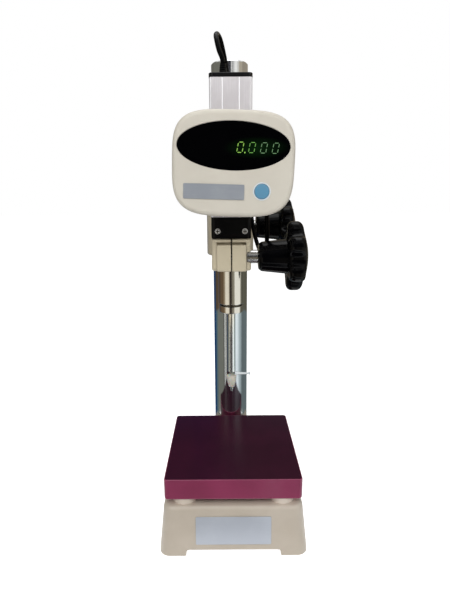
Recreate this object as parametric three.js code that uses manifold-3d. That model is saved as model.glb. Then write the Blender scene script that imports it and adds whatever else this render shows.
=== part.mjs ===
// Digital length gauge with its counter display, held over a measuring table by a column stand.
// Millimetres, +Z up, +X to the right, -Y towards the user.
// Origin: centre of the measuring table's top face.

import * as THREE from 'three';
import { mergeVertices } from 'three/addons/utils/BufferGeometryUtils.js';
import Module from 'manifold-3d';

const wasm = await Module();
wasm.setup();

// ---------- driving dimensions ----------

const gap = 0.3;                 // left between pieces that touch

const tableSide = 160;
const tableThick = 26;
const tableCorner = 4;
const bossHeight = 8;            // cast bosses under the table
const bossRadius = 15;
const bossX = 58;
const bossY = 62;

const baseTop = -tableThick - bossHeight;
const baseFloor = -96.5;
const baseHalfWidth = 81.6;      // at the top edge, before the draft widens it
const baseFront = -81;
const baseBack = 150;
const baseCorner = 12;
const baseEdge = 5;              // rounding of the top edge
const baseDraft = 6.3;           // how far each side leans out at the floor
const footInner = 55.5;          // half width of the arch between the feet
const footHeight = 7.9;

const columnRadius = 24;
const columnY = 108.3;
const columnTop = 483;
const socketFloor = -68;
const socketRadius = 37;
const socketHeight = 7;

const stemY = 22.6;              // gauge axis
const stemRadius = 16;
const stemBottom = 184.3;
const spindleRadius = 5;
const tipTop = 91;
const tipBottom = 69.4;

const clampBottom = 230.2;
const clampTop = 262.3;
const clampFront = -16.4;
const clampEarHalf = 17.5;
const clampFace = -10.6;          // the block's face, behind the two ears
const clampHalf = 23.2;
const flangeTop = 267;
const slit = 1.8;

const ringRadius = 32.5;         // split ring on the column
const ringBottom = 235;
const ringTop = 310;

const stemScrewY = -4.4;
const stemScrewZ = 246.5;
const columnScrewY = 142;
const columnScrewZ = 272;
const screwRadius = 4;           // M8 clamp screws
const screwCollarRadius = 8;

const knobRadius = 40;
const knobLobes = 6;
const knobHubLength = 30.5;
const knobLength = 58;
const starThick = 25;            // from the lobes' back to the top of the dome
const starDome = 6;

const bodyHalf = 24;             // gauge body, half width
const bodyFront = -1.1;
const bodyBack = 67.9;
const bodyWall = 3;
const bodyCorner = 5;
const blockBottom = 267.4;
const blockTop = 292;
const bodyTop = 444;
const capThick = 4.5;
const capTop = bodyTop + gap + capThick;
const cornerBossX = 18.5;        // screw bosses in the body's corners
const cornerBossInset = 5.5;

const displayHalfWidth = 63.5;
const displayHalfHeight = 53.4;
const displayX = 1.6;
const displayZ = 349;
const displayTurn = 2;           // degrees that the housing stands turned on its bolt
const displayFront = -57.4;
const displayBack = -12.4;
const displaySplit = -35;
const shellWall = 2.5;
const shellFace = 3;
const windowX = -0.4;            // in the display's own frame, as the sizes below
const windowZ = 17.8;
const windowHalfWidth = 58;
const windowHalfHeight = 24.3;
const buttonX = 30.4;
const buttonZ = -26.6;
const buttonRadius = 7.7;
const buttonStroke = 1;
const shellPosts = [[-22, 47], [22, 47], [-34, -40], [34, -40]];
const glandX = 42.4;             // where the lead enters the display's back
const glandZ = -39;

const leadRadius = 2.8;

const fine = 20;                 // facets round a large turned piece
const medium = 14;
const small = 10;

// ---------- finishes ----------

const finishes = {
  casting: { color: 0xbcb09e, roughness: 0.45, metalness: 0.0 },
  tableStone: { color: 0x3a1226, roughness: 0.12, metalness: 0.0 },
  groundSteel: { color: 0xc9cacb, roughness: 0.15, metalness: 1.0 },
  screwSteel: { color: 0xb4b4b2, roughness: 0.3, metalness: 1.0 },
  blackKnob: { color: 0x15161a, roughness: 0.4, metalness: 0.0 },
  blackPaint: { color: 0x141418, roughness: 0.45, metalness: 0.0 },
  anodised: { color: 0xc7c4ca, roughness: 0.35, metalness: 0.8 },
  creamShell: { color: 0xd2ccbf, roughness: 0.5, metalness: 0.0 },
  darkWindow: { color: 0x050506, roughness: 0.05, metalness: 0.0 },
  blueButton: { color: 0x5fa3cc, roughness: 0.4, metalness: 0.0 },
  palePlastic: { color: 0xdfe3e6, roughness: 0.4, metalness: 0.0 },
  greyPlate: { color: 0x969aa2, roughness: 0.4, metalness: 0.3 },
  whiteNylon: { color: 0xdedcd2, roughness: 0.35, metalness: 0.0 },
  leadJacket: { color: 0x121212, roughness: 0.3, metalness: 0.0 },
  bronze: { color: 0xa9793a, roughness: 0.4, metalness: 1.0 },
  circuitBoard: { color: 0x1f5a35, roughness: 0.5, metalness: 0.0 },
  scaleGlass: { color: 0xbfd4d0, roughness: 0.05, metalness: 0.0 },
};

// ---------- solids: joining and cutting ----------

// A closed geometry as a solid: shared vertices merged, triangles without area left out.
function solidOf(geometry) {
  const bare = geometry.clone();
  for (const name of Object.keys(bare.attributes)) {
    if (name !== 'position') bare.deleteAttribute(name);
  }
  const merged = mergeVertices(bare, 1e-4);
  const corners = merged.index.array;
  const triangles = [];
  for (let i = 0; i < corners.length; i += 3) {
    const [a, b, c] = corners.subarray(i, i + 3);
    if (a !== b && b !== c && c !== a) triangles.push(a, b, c);
  }
  return new wasm.Manifold(new wasm.Mesh({
    numProp: 3,
    vertProperties: new Float32Array(merged.attributes.position.array),
    triVerts: new Uint32Array(triangles),
  }));
}

function geometryOf(solid) {
  const faces = solid.getMesh();
  const geometry = new THREE.BufferGeometry();
  geometry.setAttribute('position', new THREE.BufferAttribute(faces.vertProperties, 3));
  geometry.setIndex(new THREE.BufferAttribute(faces.triVerts, 1));
  return geometry;
}

function join(...geometries) {
  return geometryOf(geometries.map(solidOf).reduce((all, one) => all.add(one)));
}

function cut(geometry, ...tools) {
  return geometryOf(tools.map(solidOf).reduce((all, one) => all.subtract(one), solidOf(geometry)));
}

// ---------- solids: basic shapes ----------

function box([x0, x1], [y0, y1], [z0, z1]) {
  const geometry = new THREE.BoxGeometry(x1 - x0, y1 - y0, z1 - z0);
  return geometry.translate((x0 + x1) / 2, (y0 + y1) / 2, (z0 + z1) / 2);
}

// A turned solid. The profile lists [radius, place along the axis], and starts and ends on the
// axis, or closes on itself for a ring. at is a point that the axis passes through.
function turned(axis, at, profile, segments = medium) {
  const geometry = new THREE.LatheGeometry(profile.map(([r, s]) => new THREE.Vector2(r, s)), segments);
  if (axis === 'z') geometry.rotateX(Math.PI / 2);
  if (axis === 'x') geometry.rotateZ(-Math.PI / 2);
  return geometry.translate(...at);
}

function rod(axis, at, radius, [from, to], segments = medium) {
  return turned(axis, at, [[0, from], [radius, from], [radius, to], [0, to]], segments);
}

function tube(axis, at, outer, inner, [from, to], segments = medium) {
  const profile = [[inner, from], [outer, from], [outer, to], [inner, to], [inner, from]];
  return turned(axis, at, profile, segments);
}

// A flat outline given a thickness, its edges rounded by bevel. Each arc of the outline gets twice
// curveSegments facets.
function thicken(outline, depth, bevel = 0, bevelSegments = 1, curveSegments = 2) {
  return new THREE.ExtrudeGeometry(outline, {
    depth: depth - 2 * bevel,
    curveSegments,
    bevelEnabled: bevel > 0,
    bevelThickness: bevel,
    bevelSize: bevel,
    bevelOffset: -bevel,
    bevelSegments,
  }).translate(0, 0, bevel);
}

// An outline in X and Y, standing from z0 to z1.
function upright(outline, [z0, z1], ...edge) {
  return thicken(outline, z1 - z0, ...edge).translate(0, 0, z0);
}

// An outline in X and Z, reaching from y0 in front to y1 behind.
function facing(outline, [y0, y1], ...edge) {
  return thicken(outline, y1 - y0, ...edge).rotateX(Math.PI / 2).translate(0, y1, 0);
}

// An outline in Y and Z, reaching from x0 to x1.
function sideways(outline, [x0, x1], ...edge) {
  const turn = new THREE.Matrix4().makeBasis(
    new THREE.Vector3(0, 1, 0), new THREE.Vector3(0, 0, 1), new THREE.Vector3(1, 0, 0));
  return thicken(outline, x1 - x0, ...edge).applyMatrix4(turn).translate(x0, 0, 0);
}

// ---------- outlines ----------

function roundedRectangle([x0, x1], [y0, y1], radius) {
  const shape = new THREE.Shape();
  shape.absarc(x1 - radius, y0 + radius, radius, -Math.PI / 2, 0);
  shape.absarc(x1 - radius, y1 - radius, radius, 0, Math.PI / 2);
  shape.absarc(x0 + radius, y1 - radius, radius, Math.PI / 2, Math.PI);
  shape.absarc(x0 + radius, y0 + radius, radius, Math.PI, 1.5 * Math.PI);
  return shape;
}

function ellipse(x, y, halfWidth, halfHeight, steps = 32) {
  const points = [];
  for (let i = 0; i < steps; i += 1) {
    const angle = (2 * Math.PI * i) / steps;
    points.push(new THREE.Vector2(x + halfWidth * Math.cos(angle), y + halfHeight * Math.sin(angle)));
  }
  return new THREE.Shape(points);
}

// The display's outline: |x/a|^n + |z/b|^n = 1, with a flatter upper half and a rounder lower one.
function displayOutline(inset, steps = 32) {
  const upperPower = 3.8;
  const lowerPower = 3.6;
  const a = displayHalfWidth - inset;
  const b = displayHalfHeight - inset;
  const points = [];
  for (let i = 0; i < steps; i += 1) {
    const angle = (2 * Math.PI * (i + 0.5)) / steps;
    const c = Math.cos(angle);
    const s = Math.sin(angle);
    const power = s > 0 ? upperPower : lowerPower;
    const reach = (Math.abs(c) ** power + Math.abs(s) ** power) ** (-1 / power);
    points.push(new THREE.Vector2(a * reach * c, b * reach * s));
  }
  return new THREE.Shape(points);
}

// A star grip: round lobes, with hollows between them that meet the lobes smoothly.
function starOutline(lobes, tipRadius) {
  const lobeRadius = tipRadius / 4;
  const hollowRadius = tipRadius / 5;
  const lobeCentre = tipRadius - lobeRadius;
  const half = Math.PI / lobes;
  const along = lobeCentre * Math.cos(half);
  const across = lobeCentre * Math.sin(half);
  const hollowCentre = along + Math.sqrt((lobeRadius + hollowRadius) ** 2 - across ** 2);
  const turn = Math.PI / 2 - Math.atan2(hollowCentre - along, across);
  const sweep = half + turn;
  const shape = new THREE.Shape();
  for (let i = 0; i < lobes; i += 1) {
    const middle = 2 * half * i;
    const lobe = [lobeCentre * Math.cos(middle), lobeCentre * Math.sin(middle)];
    shape.absarc(...lobe, lobeRadius, middle - sweep, middle + sweep);
    const valley = middle + half;
    const hollow = [hollowCentre * Math.cos(valley), hollowCentre * Math.sin(valley)];
    shape.absarc(...hollow, hollowRadius, valley + Math.PI + turn, valley + Math.PI - turn, true);
  }
  return shape;
}

// ---------- the model ----------

const model = new THREE.Group();

function add(name, finish, geometry, parent = model) {
  const mesh = new THREE.Mesh(geometry, new THREE.MeshStandardMaterial(finishes[finish]));
  mesh.name = name;
  parent.add(mesh);
  return mesh;
}

// ---------- base, table and column ----------

// The casting's sides lean out below its top edge, by baseDraft at the floor.
function leanOut(geometry) {
  const places = geometry.attributes.position;
  const middleY = (baseFront + baseBack) / 2;
  for (let i = 0; i < places.count; i += 1) {
    const shift = (baseDraft * (baseTop - places.getZ(i))) / (baseTop - baseFloor);
    places.setX(i, places.getX(i) + shift * Math.sign(places.getX(i)));
    places.setY(i, places.getY(i) + shift * Math.sign(places.getY(i) - middleY));
  }
  return geometry;
}

function baseCasting() {
  const outline = roundedRectangle([-baseHalfWidth, baseHalfWidth], [baseFront, baseBack], baseCorner);
  const block = leanOut(upright(outline, [baseFloor - 20, baseTop], baseEdge, 3));
  const bosses = [];
  const holes = [];
  for (const x of [-bossX, bossX]) {
    for (const y of [-bossY, bossY]) {
      bosses.push(rod('z', [x, y, 0], bossRadius, [baseTop - 4, -tableThick - gap]));
      holes.push(rod('z', [x, y, 0], 3.4, [baseFloor, 0], small));
      holes.push(rod('z', [x, y, 0], 6, [baseFloor - 20, -50], small));
    }
  }
  const socketTop = baseTop + socketHeight;
  const socket = turned('z', [0, columnY, 0], [
    [0, baseTop - 1], [socketRadius + 3, baseTop - 1], [socketRadius + 3, baseTop],
    [socketRadius, baseTop + 3], [socketRadius, socketTop - 2], [socketRadius - 2, socketTop], [0, socketTop],
  ], fine);
  const footBackInner = baseBack - 25;
  return cut(
    join(block, ...bosses, socket),
    box([-120, 120], [-120, 200], [baseFloor - 30, baseFloor]),
    box([-footInner, footInner], [-120, 200], [baseFloor - 10, baseFloor + footHeight]),
    box([-120, 120], [baseFront + 27, footBackInner], [baseFloor - 10, baseFloor + footHeight]),
    rod('z', [0, columnY, 0], columnRadius + gap, [socketFloor, 0], fine),
    rod('z', [0, columnY, 0], 6.5, [baseFloor, 0], small),
    rod('z', [0, columnY, 0], 17, [baseFloor, socketFloor - 8], medium),
    ...holes,
  );
}

function baseLabelPlate() {
  const width = 88;
  const height = 37;
  const thick = 0.8;
  const middle = -62.2;
  const outline = roundedRectangle([-width / 2, width / 2], [-height / 2, height / 2], 1.5);
  const lean = Math.atan2(baseDraft, baseTop - baseFloor);
  const faceY = baseFront - (baseDraft * (baseTop - middle)) / (baseTop - baseFloor);
  const mesh = add('base_label_plate', 'greyPlate', facing(outline, [-thick, 0]));
  mesh.position.set(0, faceY - gap, middle);
  mesh.rotation.x = -lean;
}

function tableScrew(name, x, y) {
  const seat = -50 - gap;
  const screw = turned('z', [x, y, 0], [
    [0, seat - 3], [2.4, seat - 3], [2.4, seat - 6], [5, seat - 6], [5, seat],
    [3, seat], [3, -tableThick / 2], [0, -tableThick / 2],
  ], small);
  add(name, 'screwSteel', screw);
}

function addStand() {
  add('base_casting', 'casting', baseCasting());
  baseLabelPlate();

  const half = tableSide / 2;
  const slab = upright(roundedRectangle([-half, half], [-half, half], tableCorner), [-tableThick, 0], 1, 1);
  const threads = [];
  let count = 0;
  for (const x of [-bossX, bossX]) {
    for (const y of [-bossY, bossY]) {
      count += 1;
      threads.push(rod('z', [x, y, 0], 3 + gap, [-tableThick - 1, -tableThick / 2 + 1], small));
      tableScrew(`table_screw_${count}`, x, y);
    }
  }
  add('measuring_table', 'tableStone', cut(slab, ...threads));

  const foot = socketFloor + gap;
  add('column', 'groundSteel', turned('z', [0, columnY, 0], [
    [0, foot + 30], [6 + gap, foot + 30], [6 + gap, foot], [columnRadius - 1, foot], [columnRadius, foot + 1],
    [columnRadius, columnTop - 1.5], [columnRadius - 1.5, columnTop], [0, columnTop],
  ], fine));

  const seat = socketFloor - 8 - gap;
  const head = upright(ellipse(0, columnY, 11, 11, 6), [seat - 7.5, seat - 2]);
  const flange = rod('z', [0, columnY, 0], 14, [seat - 2.2, seat]);
  const shank = rod('z', [0, columnY, 0], 6, [seat - 1, foot + 26], small);
  add('column_bolt', 'screwSteel', join(head, flange, shank));
}

// ---------- bracket ----------

function bracketCasting() {
  const edge = 3;
  const ring = turned('z', [0, columnY, 0], [
    [0, ringBottom], [ringRadius - edge, ringBottom], [ringRadius - 1, ringBottom + 1],
    [ringRadius, ringBottom + edge], [ringRadius, ringTop - edge], [ringRadius - 1, ringTop - 1],
    [ringRadius - edge, ringTop], [0, ringTop],
  ], fine);
  const rearEars = sideways(roundedRectangle([columnY, columnScrewY + 14], [250, 294], 8), [-20, 20], 2.5);
  const blockOutline = roundedRectangle([-clampHalf, clampHalf], [clampFace, columnY - 5], 4);
  const block = upright(blockOutline, [clampBottom, clampTop + 1], 2.5);
  const earOutline = roundedRectangle([-clampEarHalf, clampEarHalf], [clampFront, stemY], 2.5);
  const ears = upright(earOutline, [clampBottom, clampTop - 0.7], 1.5);
  const flangeHalf = bodyHalf - 0.5;
  const flangeOutline = roundedRectangle([-flangeHalf, flangeHalf], [clampFace, columnY - 15], 4);
  const flange = upright(flangeOutline, [clampTop - 3, flangeTop], 1);
  const behind = columnScrewY + 40;
  return cut(
    join(ring, rearEars, block, ears, flange),
    box([-16, 16], [clampFront - 1, clampFace + 6], [clampTop - 0.7, clampTop + 1.7]),
    rod('x', [0, stemScrewY, stemScrewZ], screwCollarRadius + 0.6, [clampEarHalf, 60], medium),
    rod('z', [0, columnY, 0], columnRadius + gap, [0, 500], fine),
    rod('z', [0, stemY, 0], stemRadius + gap, [0, 500], fine),
    box([-slit / 2, slit / 2], [clampFront - 10, stemY], [0, 500]),
    box([-slit / 2, slit / 2], [columnY, behind], [0, 500]),
    rod('x', [0, stemScrewY, stemScrewZ], screwRadius + gap, [-60, 60], small),
    rod('x', [0, columnScrewY, columnScrewZ], screwRadius + gap, [-60, 60], small),
  );
}

// A clamp screw with its star grip, turning about an X axis. face is where the ear ends.
function addClamp(prefix, y, z, face, hubStart, turn) {
  const screw = turned('x', [0, y, z], [
    [0, -face - 1], [screwRadius - 1, -face - 1], [screwRadius, -face], [screwRadius, face + gap],
    [screwCollarRadius, face + gap], [screwCollarRadius, hubStart - gap], [screwRadius, hubStart - gap],
    [screwRadius, hubStart + 20], [0, hubStart + 20],
  ], medium);
  add(`${prefix}_screw`, 'screwSteel', screw);

  const starStart = hubStart + knobHubLength;
  const end = hubStart + knobLength;
  const bore = screwRadius + gap;
  const hub = turned('x', [0, 0, 0], [
    [0, hubStart + 20 + gap], [bore, hubStart + 20 + gap], [bore, hubStart], [14.5, hubStart],
    [17.5, hubStart + 3], [20.5, starStart], [20.5, end - starDome], [18, end - 0.73 * starDome],
    [13, end - 0.38 * starDome], [7, end - 0.11 * starDome], [0, end],
  ], medium);
  const star = sideways(starOutline(knobLobes, knobRadius), [end - starThick, end - starDome], 7, 3);
  const handle = add(`${prefix}_handle`, 'blackKnob', join(hub, star.rotateX(turn)));
  handle.position.set(0, y, z);
}

// ---------- gauge ----------

const bodyOutline = (inset) => roundedRectangle(
  [-bodyHalf + inset, bodyHalf - inset], [bodyFront + inset, bodyBack - inset], bodyCorner - inset / 2);

const cornerBosses = [
  [-cornerBossX, bodyFront + cornerBossInset], [cornerBossX, bodyFront + cornerBossInset],
  [-cornerBossX, bodyBack - cornerBossInset], [cornerBossX, bodyBack - cornerBossInset],
];

function gaugeBody() {
  const seams = [-9.7, 9.7];
  const span = [blockTop + gap, bodyTop];
  const skin = upright(bodyOutline(0), span);
  const pillars = cornerBosses.map(([x, y]) => rod('z', [x, y, 0], 4.5, [0, 500], small));
  const hollow = cut(upright(bodyOutline(bodyWall), [0, 500]), ...pillars);
  const threads = cornerBosses.map(([x, y]) => rod('z', [x, y, 0], 1.5 + gap, [bodyTop - 20, 500], small));
  const grooves = seams.map((x) => box([x - 0.8, x + 0.8], [bodyFront - 5, bodyFront + 0.7], [0, 500]));
  const boltHole = rod('y', [displayX, 0, displayZ], 3 + gap, [bodyFront - 5, bodyFront + 10], small);
  return cut(skin, hollow, boltHole, ...threads, ...grooves);
}

function addGaugeBody() {
  const block = upright(bodyOutline(0.4), [blockBottom, blockTop], 0.8, 1);
  const screwX = 16;
  const screwZ = 276;
  const blockFront = bodyFront + 0.4;
  const screws = [-screwX, screwX].map((x) => (
    rod('y', [x, 0, screwZ], 2 + gap, [blockFront - 5, blockFront + 11], small)));
  add('lower_block', 'blackPaint', cut(
    block,
    rod('z', [0, stemY, 0], stemRadius + gap, [0, 500], fine),
    rod('z', [0, stemY + 22, 0], 3 + gap, [blockTop - 12, 500], small),
    ...screws,
  ));
  for (const [name, x] of [['block_screw_left', -screwX], ['block_screw_right', screwX]]) {
    const head = blockFront - gap;
    add(name, 'screwSteel', cut(
      turned('y', [x, 0, screwZ], [
        [0, head - 2.4], [2.2, head - 2.2], [3.4, head - 1.2], [3.5, head],
        [2, head], [2, head + 11], [0, head + 11],
      ], medium),
      box([x - 2.2, x + 2.2], [head - 3, head - 1.1], [screwZ - 0.4, screwZ + 0.4]),
      box([x - 0.4, x + 0.4], [head - 3, head - 1.1], [screwZ - 2.2, screwZ + 2.2]),
    ));
  }

  add('gauge_body', 'anodised', gaugeBody());

  const recesses = cornerBosses.flatMap(([x, y]) => [
    rod('z', [x, y, 0], 3.2, [capTop - 2.5, 500], small),
    rod('z', [x, y, 0], 1.5 + gap, [0, 500], small),
  ]);
  add('top_cap', 'blackPaint', cut(upright(bodyOutline(-0.3), [bodyTop + gap, capTop], 0.8, 1), ...recesses));
  cornerBosses.forEach(([x, y], i) => {
    const seat = capTop - 2.5 + gap;
    const socket = upright(ellipse(x, y, 1.5, 1.5, 6), [seat + 0.9, seat + 5]);
    const screw = turned('z', [x, y, 0], [
      [0, bodyTop - 14], [1.5, bodyTop - 14], [1.5, seat], [2.9, seat], [2.9, seat + 1.6],
      [2.4, seat + 2], [0, seat + 2],
    ], small);
    add(`cap_screw_${i + 1}`, 'screwSteel', cut(screw, socket));
  });
}

function addStem() {
  const boreRadius = 10.5;
  const stem = tube('z', [0, stemY, 0], stemRadius, boreRadius, [stemBottom, blockTop - 2], fine);
  add('gauge_stem', 'groundSteel', stem);
  const ringBottomZ = 172.7;
  const neckStart = stemBottom - 4.3;
  const spigot = boreRadius - gap;
  const running = spindleRadius + 0.15;
  add('stem_end_ring', 'groundSteel', turned('z', [0, stemY, 0], [
    [running, ringBottomZ], [14, ringBottomZ], [15, ringBottomZ + 1], [15, neckStart], [13, neckStart],
    [13, stemBottom - gap], [spigot, stemBottom - gap], [spigot, stemBottom + 10], [running, stemBottom + 10],
    [running, ringBottomZ],
  ], fine));
  add('lower_bush', 'bronze', tube('z', [0, stemY, 0], spigot, running, [stemBottom + 10 + gap, 214], fine));
  add('upper_bush', 'bronze', tube('z', [0, stemY, 0], spigot, running, [272, 288], fine));
}

function addGaugeInside() {
  const rodY = stemY + 22;
  add('guide_rod', 'groundSteel', rod('z', [0, rodY, 0], 3, [blockTop - 12 + gap, bodyTop - 4], small));
  const front = bodyFront + bodyWall + gap;
  add('reader_head', 'blackPaint', box([-12, 12], [front, 11.9], [318, 338]));
  const back = bodyBack - bodyWall - gap;
  add('signal_board', 'circuitBoard', box([-13, 13], [back - 1.6, back], [322, 420]));

  const wall = -bodyHalf + bodyWall + gap;
  const drumY = stemY + 11.4;
  const drumZ = 430;
  add('drum_axle', 'screwSteel', rod('x', [0, drumY, drumZ], 2, [wall, -3.6], small));
  add('spring_drum', 'bronze', turned('x', [0, drumY, drumZ], [
    [2.3, -15], [9, -15], [9, -14], [8, -14], [8, -5.5], [9, -5.5], [9, -4.5], [2.3, -4.5], [2.3, -15],
  ], medium));
  const strip = drumY - 8 - gap;
  add('spring_strip', 'groundSteel', box([-13.5, -6], [strip - 0.4, strip], [314.6, drumZ - 1]));
}

function addSpindle() {
  const at = [0, stemY, 0];
  add('spindle_rod', 'groundSteel', turned('z', at, [
    [0, tipTop + gap], [4.2, tipTop + gap], [spindleRadius, tipTop + 1.2], [spindleRadius, 312], [0, 312],
  ], fine));
  add('stop_collar', 'screwSteel', tube('z', at, 9, spindleRadius + gap, [214.4, 220.4], medium));

  const rodY = stemY + 22;
  add('scale_carriage', 'anodised', cut(
    upright(roundedRectangle([-14, 14], [14.2, 51], 3), [298, 314]),
    rod('z', at, spindleRadius + gap, [0, 500], medium),
    rod('z', [0, rodY, 0], 3 + gap, [0, 500], small),
  ));
  add('glass_scale', 'scaleGlass', box([-6, 6], [12.4, 13.9], [298, 368]));

  const holder = turned('z', at, [
    [0, tipBottom], [3.2, tipBottom], [3.6, tipBottom + 1.5], [5.6, tipBottom + 9], [6.5, tipBottom + 14],
    [6.5, tipTop - 0.8], [5.8, tipTop], [0, tipTop],
  ], medium);
  const armOutline = roundedRectangle([stemY - 2.6, stemY + 2.6], [tipTop - 4, tipTop - 0.6], 1.2);
  const arm = sideways(armOutline, [2, 24.5], 0.8);
  add('tip_holder', 'whiteNylon', join(holder, arm));
  const end = tipBottom - 6;
  add('contact_tip', 'screwSteel', turned('z', at, [
    [0, end], [0.9, end + 0.25], [1.5, end + 1], [1.6, end + 1.8], [1.3, end + 2.6], [2.2, end + 3.6],
    [2.2, tipBottom - gap], [0, tipBottom - gap],
  ], medium));
}

// ---------- display ----------

function addDisplay() {
  const display = new THREE.Group();
  display.position.set(displayX, 0, displayZ);
  display.rotation.y = THREE.MathUtils.degToRad(displayTurn);
  model.add(display);
  const origin = [0, 0, 0];
  const inner = displayFront + shellFace;

  add('display_mount', 'blackPaint', cut(
    join(
      facing(roundedRectangle([-20, 20], [-28, 28], 4), [bodyFront - 5.2, bodyFront - 0.4]),
      rod('y', origin, 17, [displayBack + gap, bodyFront - 4], medium),
    ),
    rod('y', origin, 3 + gap, [-50, 50], small),
  ), display);
  const floor = displayBack - shellFace;
  add('display_bolt', 'screwSteel', turned('y', origin, [
    [0, floor - 4.3], [5, floor - 4.3], [5, floor - gap], [3, floor - gap],
    [3, bodyFront + 6], [0, bodyFront + 6],
  ], medium), display);

  const frontPosts = shellPosts.map(([x, z]) => rod('y', [x, 0, z], 3.3, [inner - 1, displaySplit], small));
  const frontHoles = shellPosts.map(([x, z]) => rod('y', [x, 0, z], 1.5 + gap, [inner + 8, 0], small));
  add('display_front_shell', 'creamShell', cut(
    join(
      cut(
        facing(displayOutline(0), [displayFront, 0], 4),
        facing(displayOutline(shellWall), [inner, 20]),
        box([-100, 100], [displaySplit, 50], [-100, 100]),
      ),
      ...frontPosts,
    ),
    ...frontHoles,
    facing(ellipse(windowX, windowZ, windowHalfWidth, windowHalfHeight), [-80, inner + 1]),
    rod('y', [buttonX, 0, buttonZ], buttonRadius + 1.1, [-80, inner + 1], medium),
  ), display);

  const backPosts = shellPosts.map(([x, z]) => (
    rod('y', [x, 0, z], 3.3, [displaySplit + gap, floor + 1], small)));
  const backHoles = shellPosts.flatMap(([x, z]) => [
    rod('y', [x, 0, z], 1.5 + gap, [-100, 0], small),
    rod('y', [x, 0, z], 3.1, [displayBack - 2.2, 0], small),
  ]);
  add('display_back_shell', 'creamShell', cut(
    join(
      cut(
        facing(displayOutline(0), [-100, displayBack], 5),
        facing(displayOutline(shellWall), [-100 + 5, floor]),
        box([-100, 100], [-120, displaySplit + gap], [-100, 100]),
      ),
      ...backPosts,
    ),
    ...backHoles,
    rod('y', origin, 3 + gap, [-100, 0], small),
    rod('y', [-38, 0, -28], 4 + gap, [-100, 0], medium),
    rod('y', [glandX, 0, glandZ], 4 + gap, [-100, 0], medium),
  ), display);

  shellPosts.forEach(([x, z], i) => {
    const head = displayBack - 2.2 + gap;
    const screw = turned('y', [x, 0, z], [
      [0, inner + 9], [1.5, inner + 9], [1.5, head], [2.8, head], [2.8, head + 1.2],
      [2.2, head + 1.8], [0, head + 1.8],
    ], small);
    add(`shell_screw_${i + 1}`, 'screwSteel', cut(
      screw,
      box([x - 1.6, x + 1.6], [head + 0.8, head + 5], [z - 0.3, z + 0.3]),
      box([x - 0.3, x + 0.3], [head + 0.8, head + 5], [z - 1.6, z + 1.6]),
    ), display);
  });

  const pane = ellipse(windowX, windowZ, windowHalfWidth - gap, windowHalfHeight - gap);
  const lip = ellipse(windowX, windowZ, windowHalfWidth + 0.8, windowHalfHeight + 1.6);
  add('display_window', 'darkWindow', join(
    facing(pane, [displayFront + 0.2, inner + 1]),
    facing(lip, [inner + gap, inner + 1.6]),
  ), display);

  const boardFront = -44;
  add('digit_module', 'blackPaint', box([0, 50], [boardFront - 8, boardFront - gap], [9, 25]), display);
  add('display_board', 'circuitBoard', box([-38, 54], [boardFront, boardFront + 1.6], [-34, 30]), display);
  add('button_switch', 'blackPaint', join(
    box([buttonX - 6, buttonX + 6], [boardFront - 2.5, boardFront - gap], [buttonZ - 6, buttonZ + 6]),
    rod('y', [buttonX, 0, buttonZ], 1.8, [boardFront - 3.5, boardFront - 2], small),
  ), display);

  add('button_bezel', 'palePlastic', turned('y', [buttonX, 0, buttonZ], [
    [buttonRadius + gap, displayFront - 0.5], [buttonRadius + 1.3, displayFront - 0.5],
    [buttonRadius + 1.8, displayFront - gap], [buttonRadius + 0.8, displayFront - gap],
    [buttonRadius + 0.8, inner], [buttonRadius + gap, inner], [buttonRadius + gap, displayFront - 0.5],
  ], medium), display);
  const pushed = boardFront - 3.5 - buttonStroke - gap;
  add('zero_button', 'blueButton', turned('y', [buttonX, 0, buttonZ], [
    [0, displayFront - 1.8], [buttonRadius - 2.5, displayFront - 1.6], [buttonRadius - 0.6, displayFront - 1],
    [buttonRadius, displayFront - 0.3], [buttonRadius, inner + 0.6], [buttonRadius + 1.6, inner + 0.6],
    [buttonRadius + 1.6, inner + 2], [2, inner + 2], [2, pushed], [0, pushed],
  ], medium), display);

  const plateOutline = roundedRectangle([-51.2, 12.1], [-35.8, -20.3], 1.2);
  const plate = facing(plateOutline, [displayFront - gap - 0.6, displayFront - gap]);
  add('display_name_plate', 'greyPlate', plate, display);

  const inletFace = displayBack + gap;
  add('power_inlet', 'blackPaint', turned('y', [-38, 0, -28], [
    [0, displayBack - 12], [4, displayBack - 12], [4, inletFace], [6, inletFace], [6, inletFace + 1.5],
    [2.9, inletFace + 1.5], [2.9, displayBack - 8], [1, displayBack - 8], [1, displayBack], [0, displayBack],
  ], medium), display);
  add('display_gland', 'leadJacket', turned('y', [glandX, 0, glandZ], [
    [0, displayBack - 6], [4, displayBack - 6], [4, inletFace], [6.5, inletFace], [6.5, inletFace + 2],
    [5, inletFace + 3], [3.4, inletFace + 13.7], [0, inletFace + 13.7],
  ], medium), display);
}

// ---------- lead ----------

// The gauge's lead: out of the top cap, over in a loop, down behind the body and past its right
// side, and up again into the display's back.
const leadRoute = [
  [-8.5, 34, 466.8], [-9.3, 34, 471.5], [-12.8, 35, 480], [-15.4, 39, 491], [-16.4, 46, 499.5],
  [-14.6, 54.5, 502.7], [-11.5, 62.5, 499.5], [-8.4, 69.5, 490], [-5.5, 74, 477.5], [-3, 76.2, 462.5],
  [-1.2, 76.6, 445], [0, 76.6, 424], [3, 76.6, 402], [8, 76.6, 380], [14.5, 76.6, 357],
  [21, 76.8, 333], [25, 76.8, 310], [27.8, 75, 289], [31.2, 70.5, 269], [35.6, 62.5, 252.5],
  [39.8, 51, 243], [42.4, 38.5, 242.8], [43.8, 28.6, 250.5], [44.2, 23.5, 263], [44, 21.6, 277],
  [43.4, 20.2, 290], [42.8, 15.6, 301.5], [42.6, 8.5, 308], [42.6, 2.2, 308.5],
];

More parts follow.
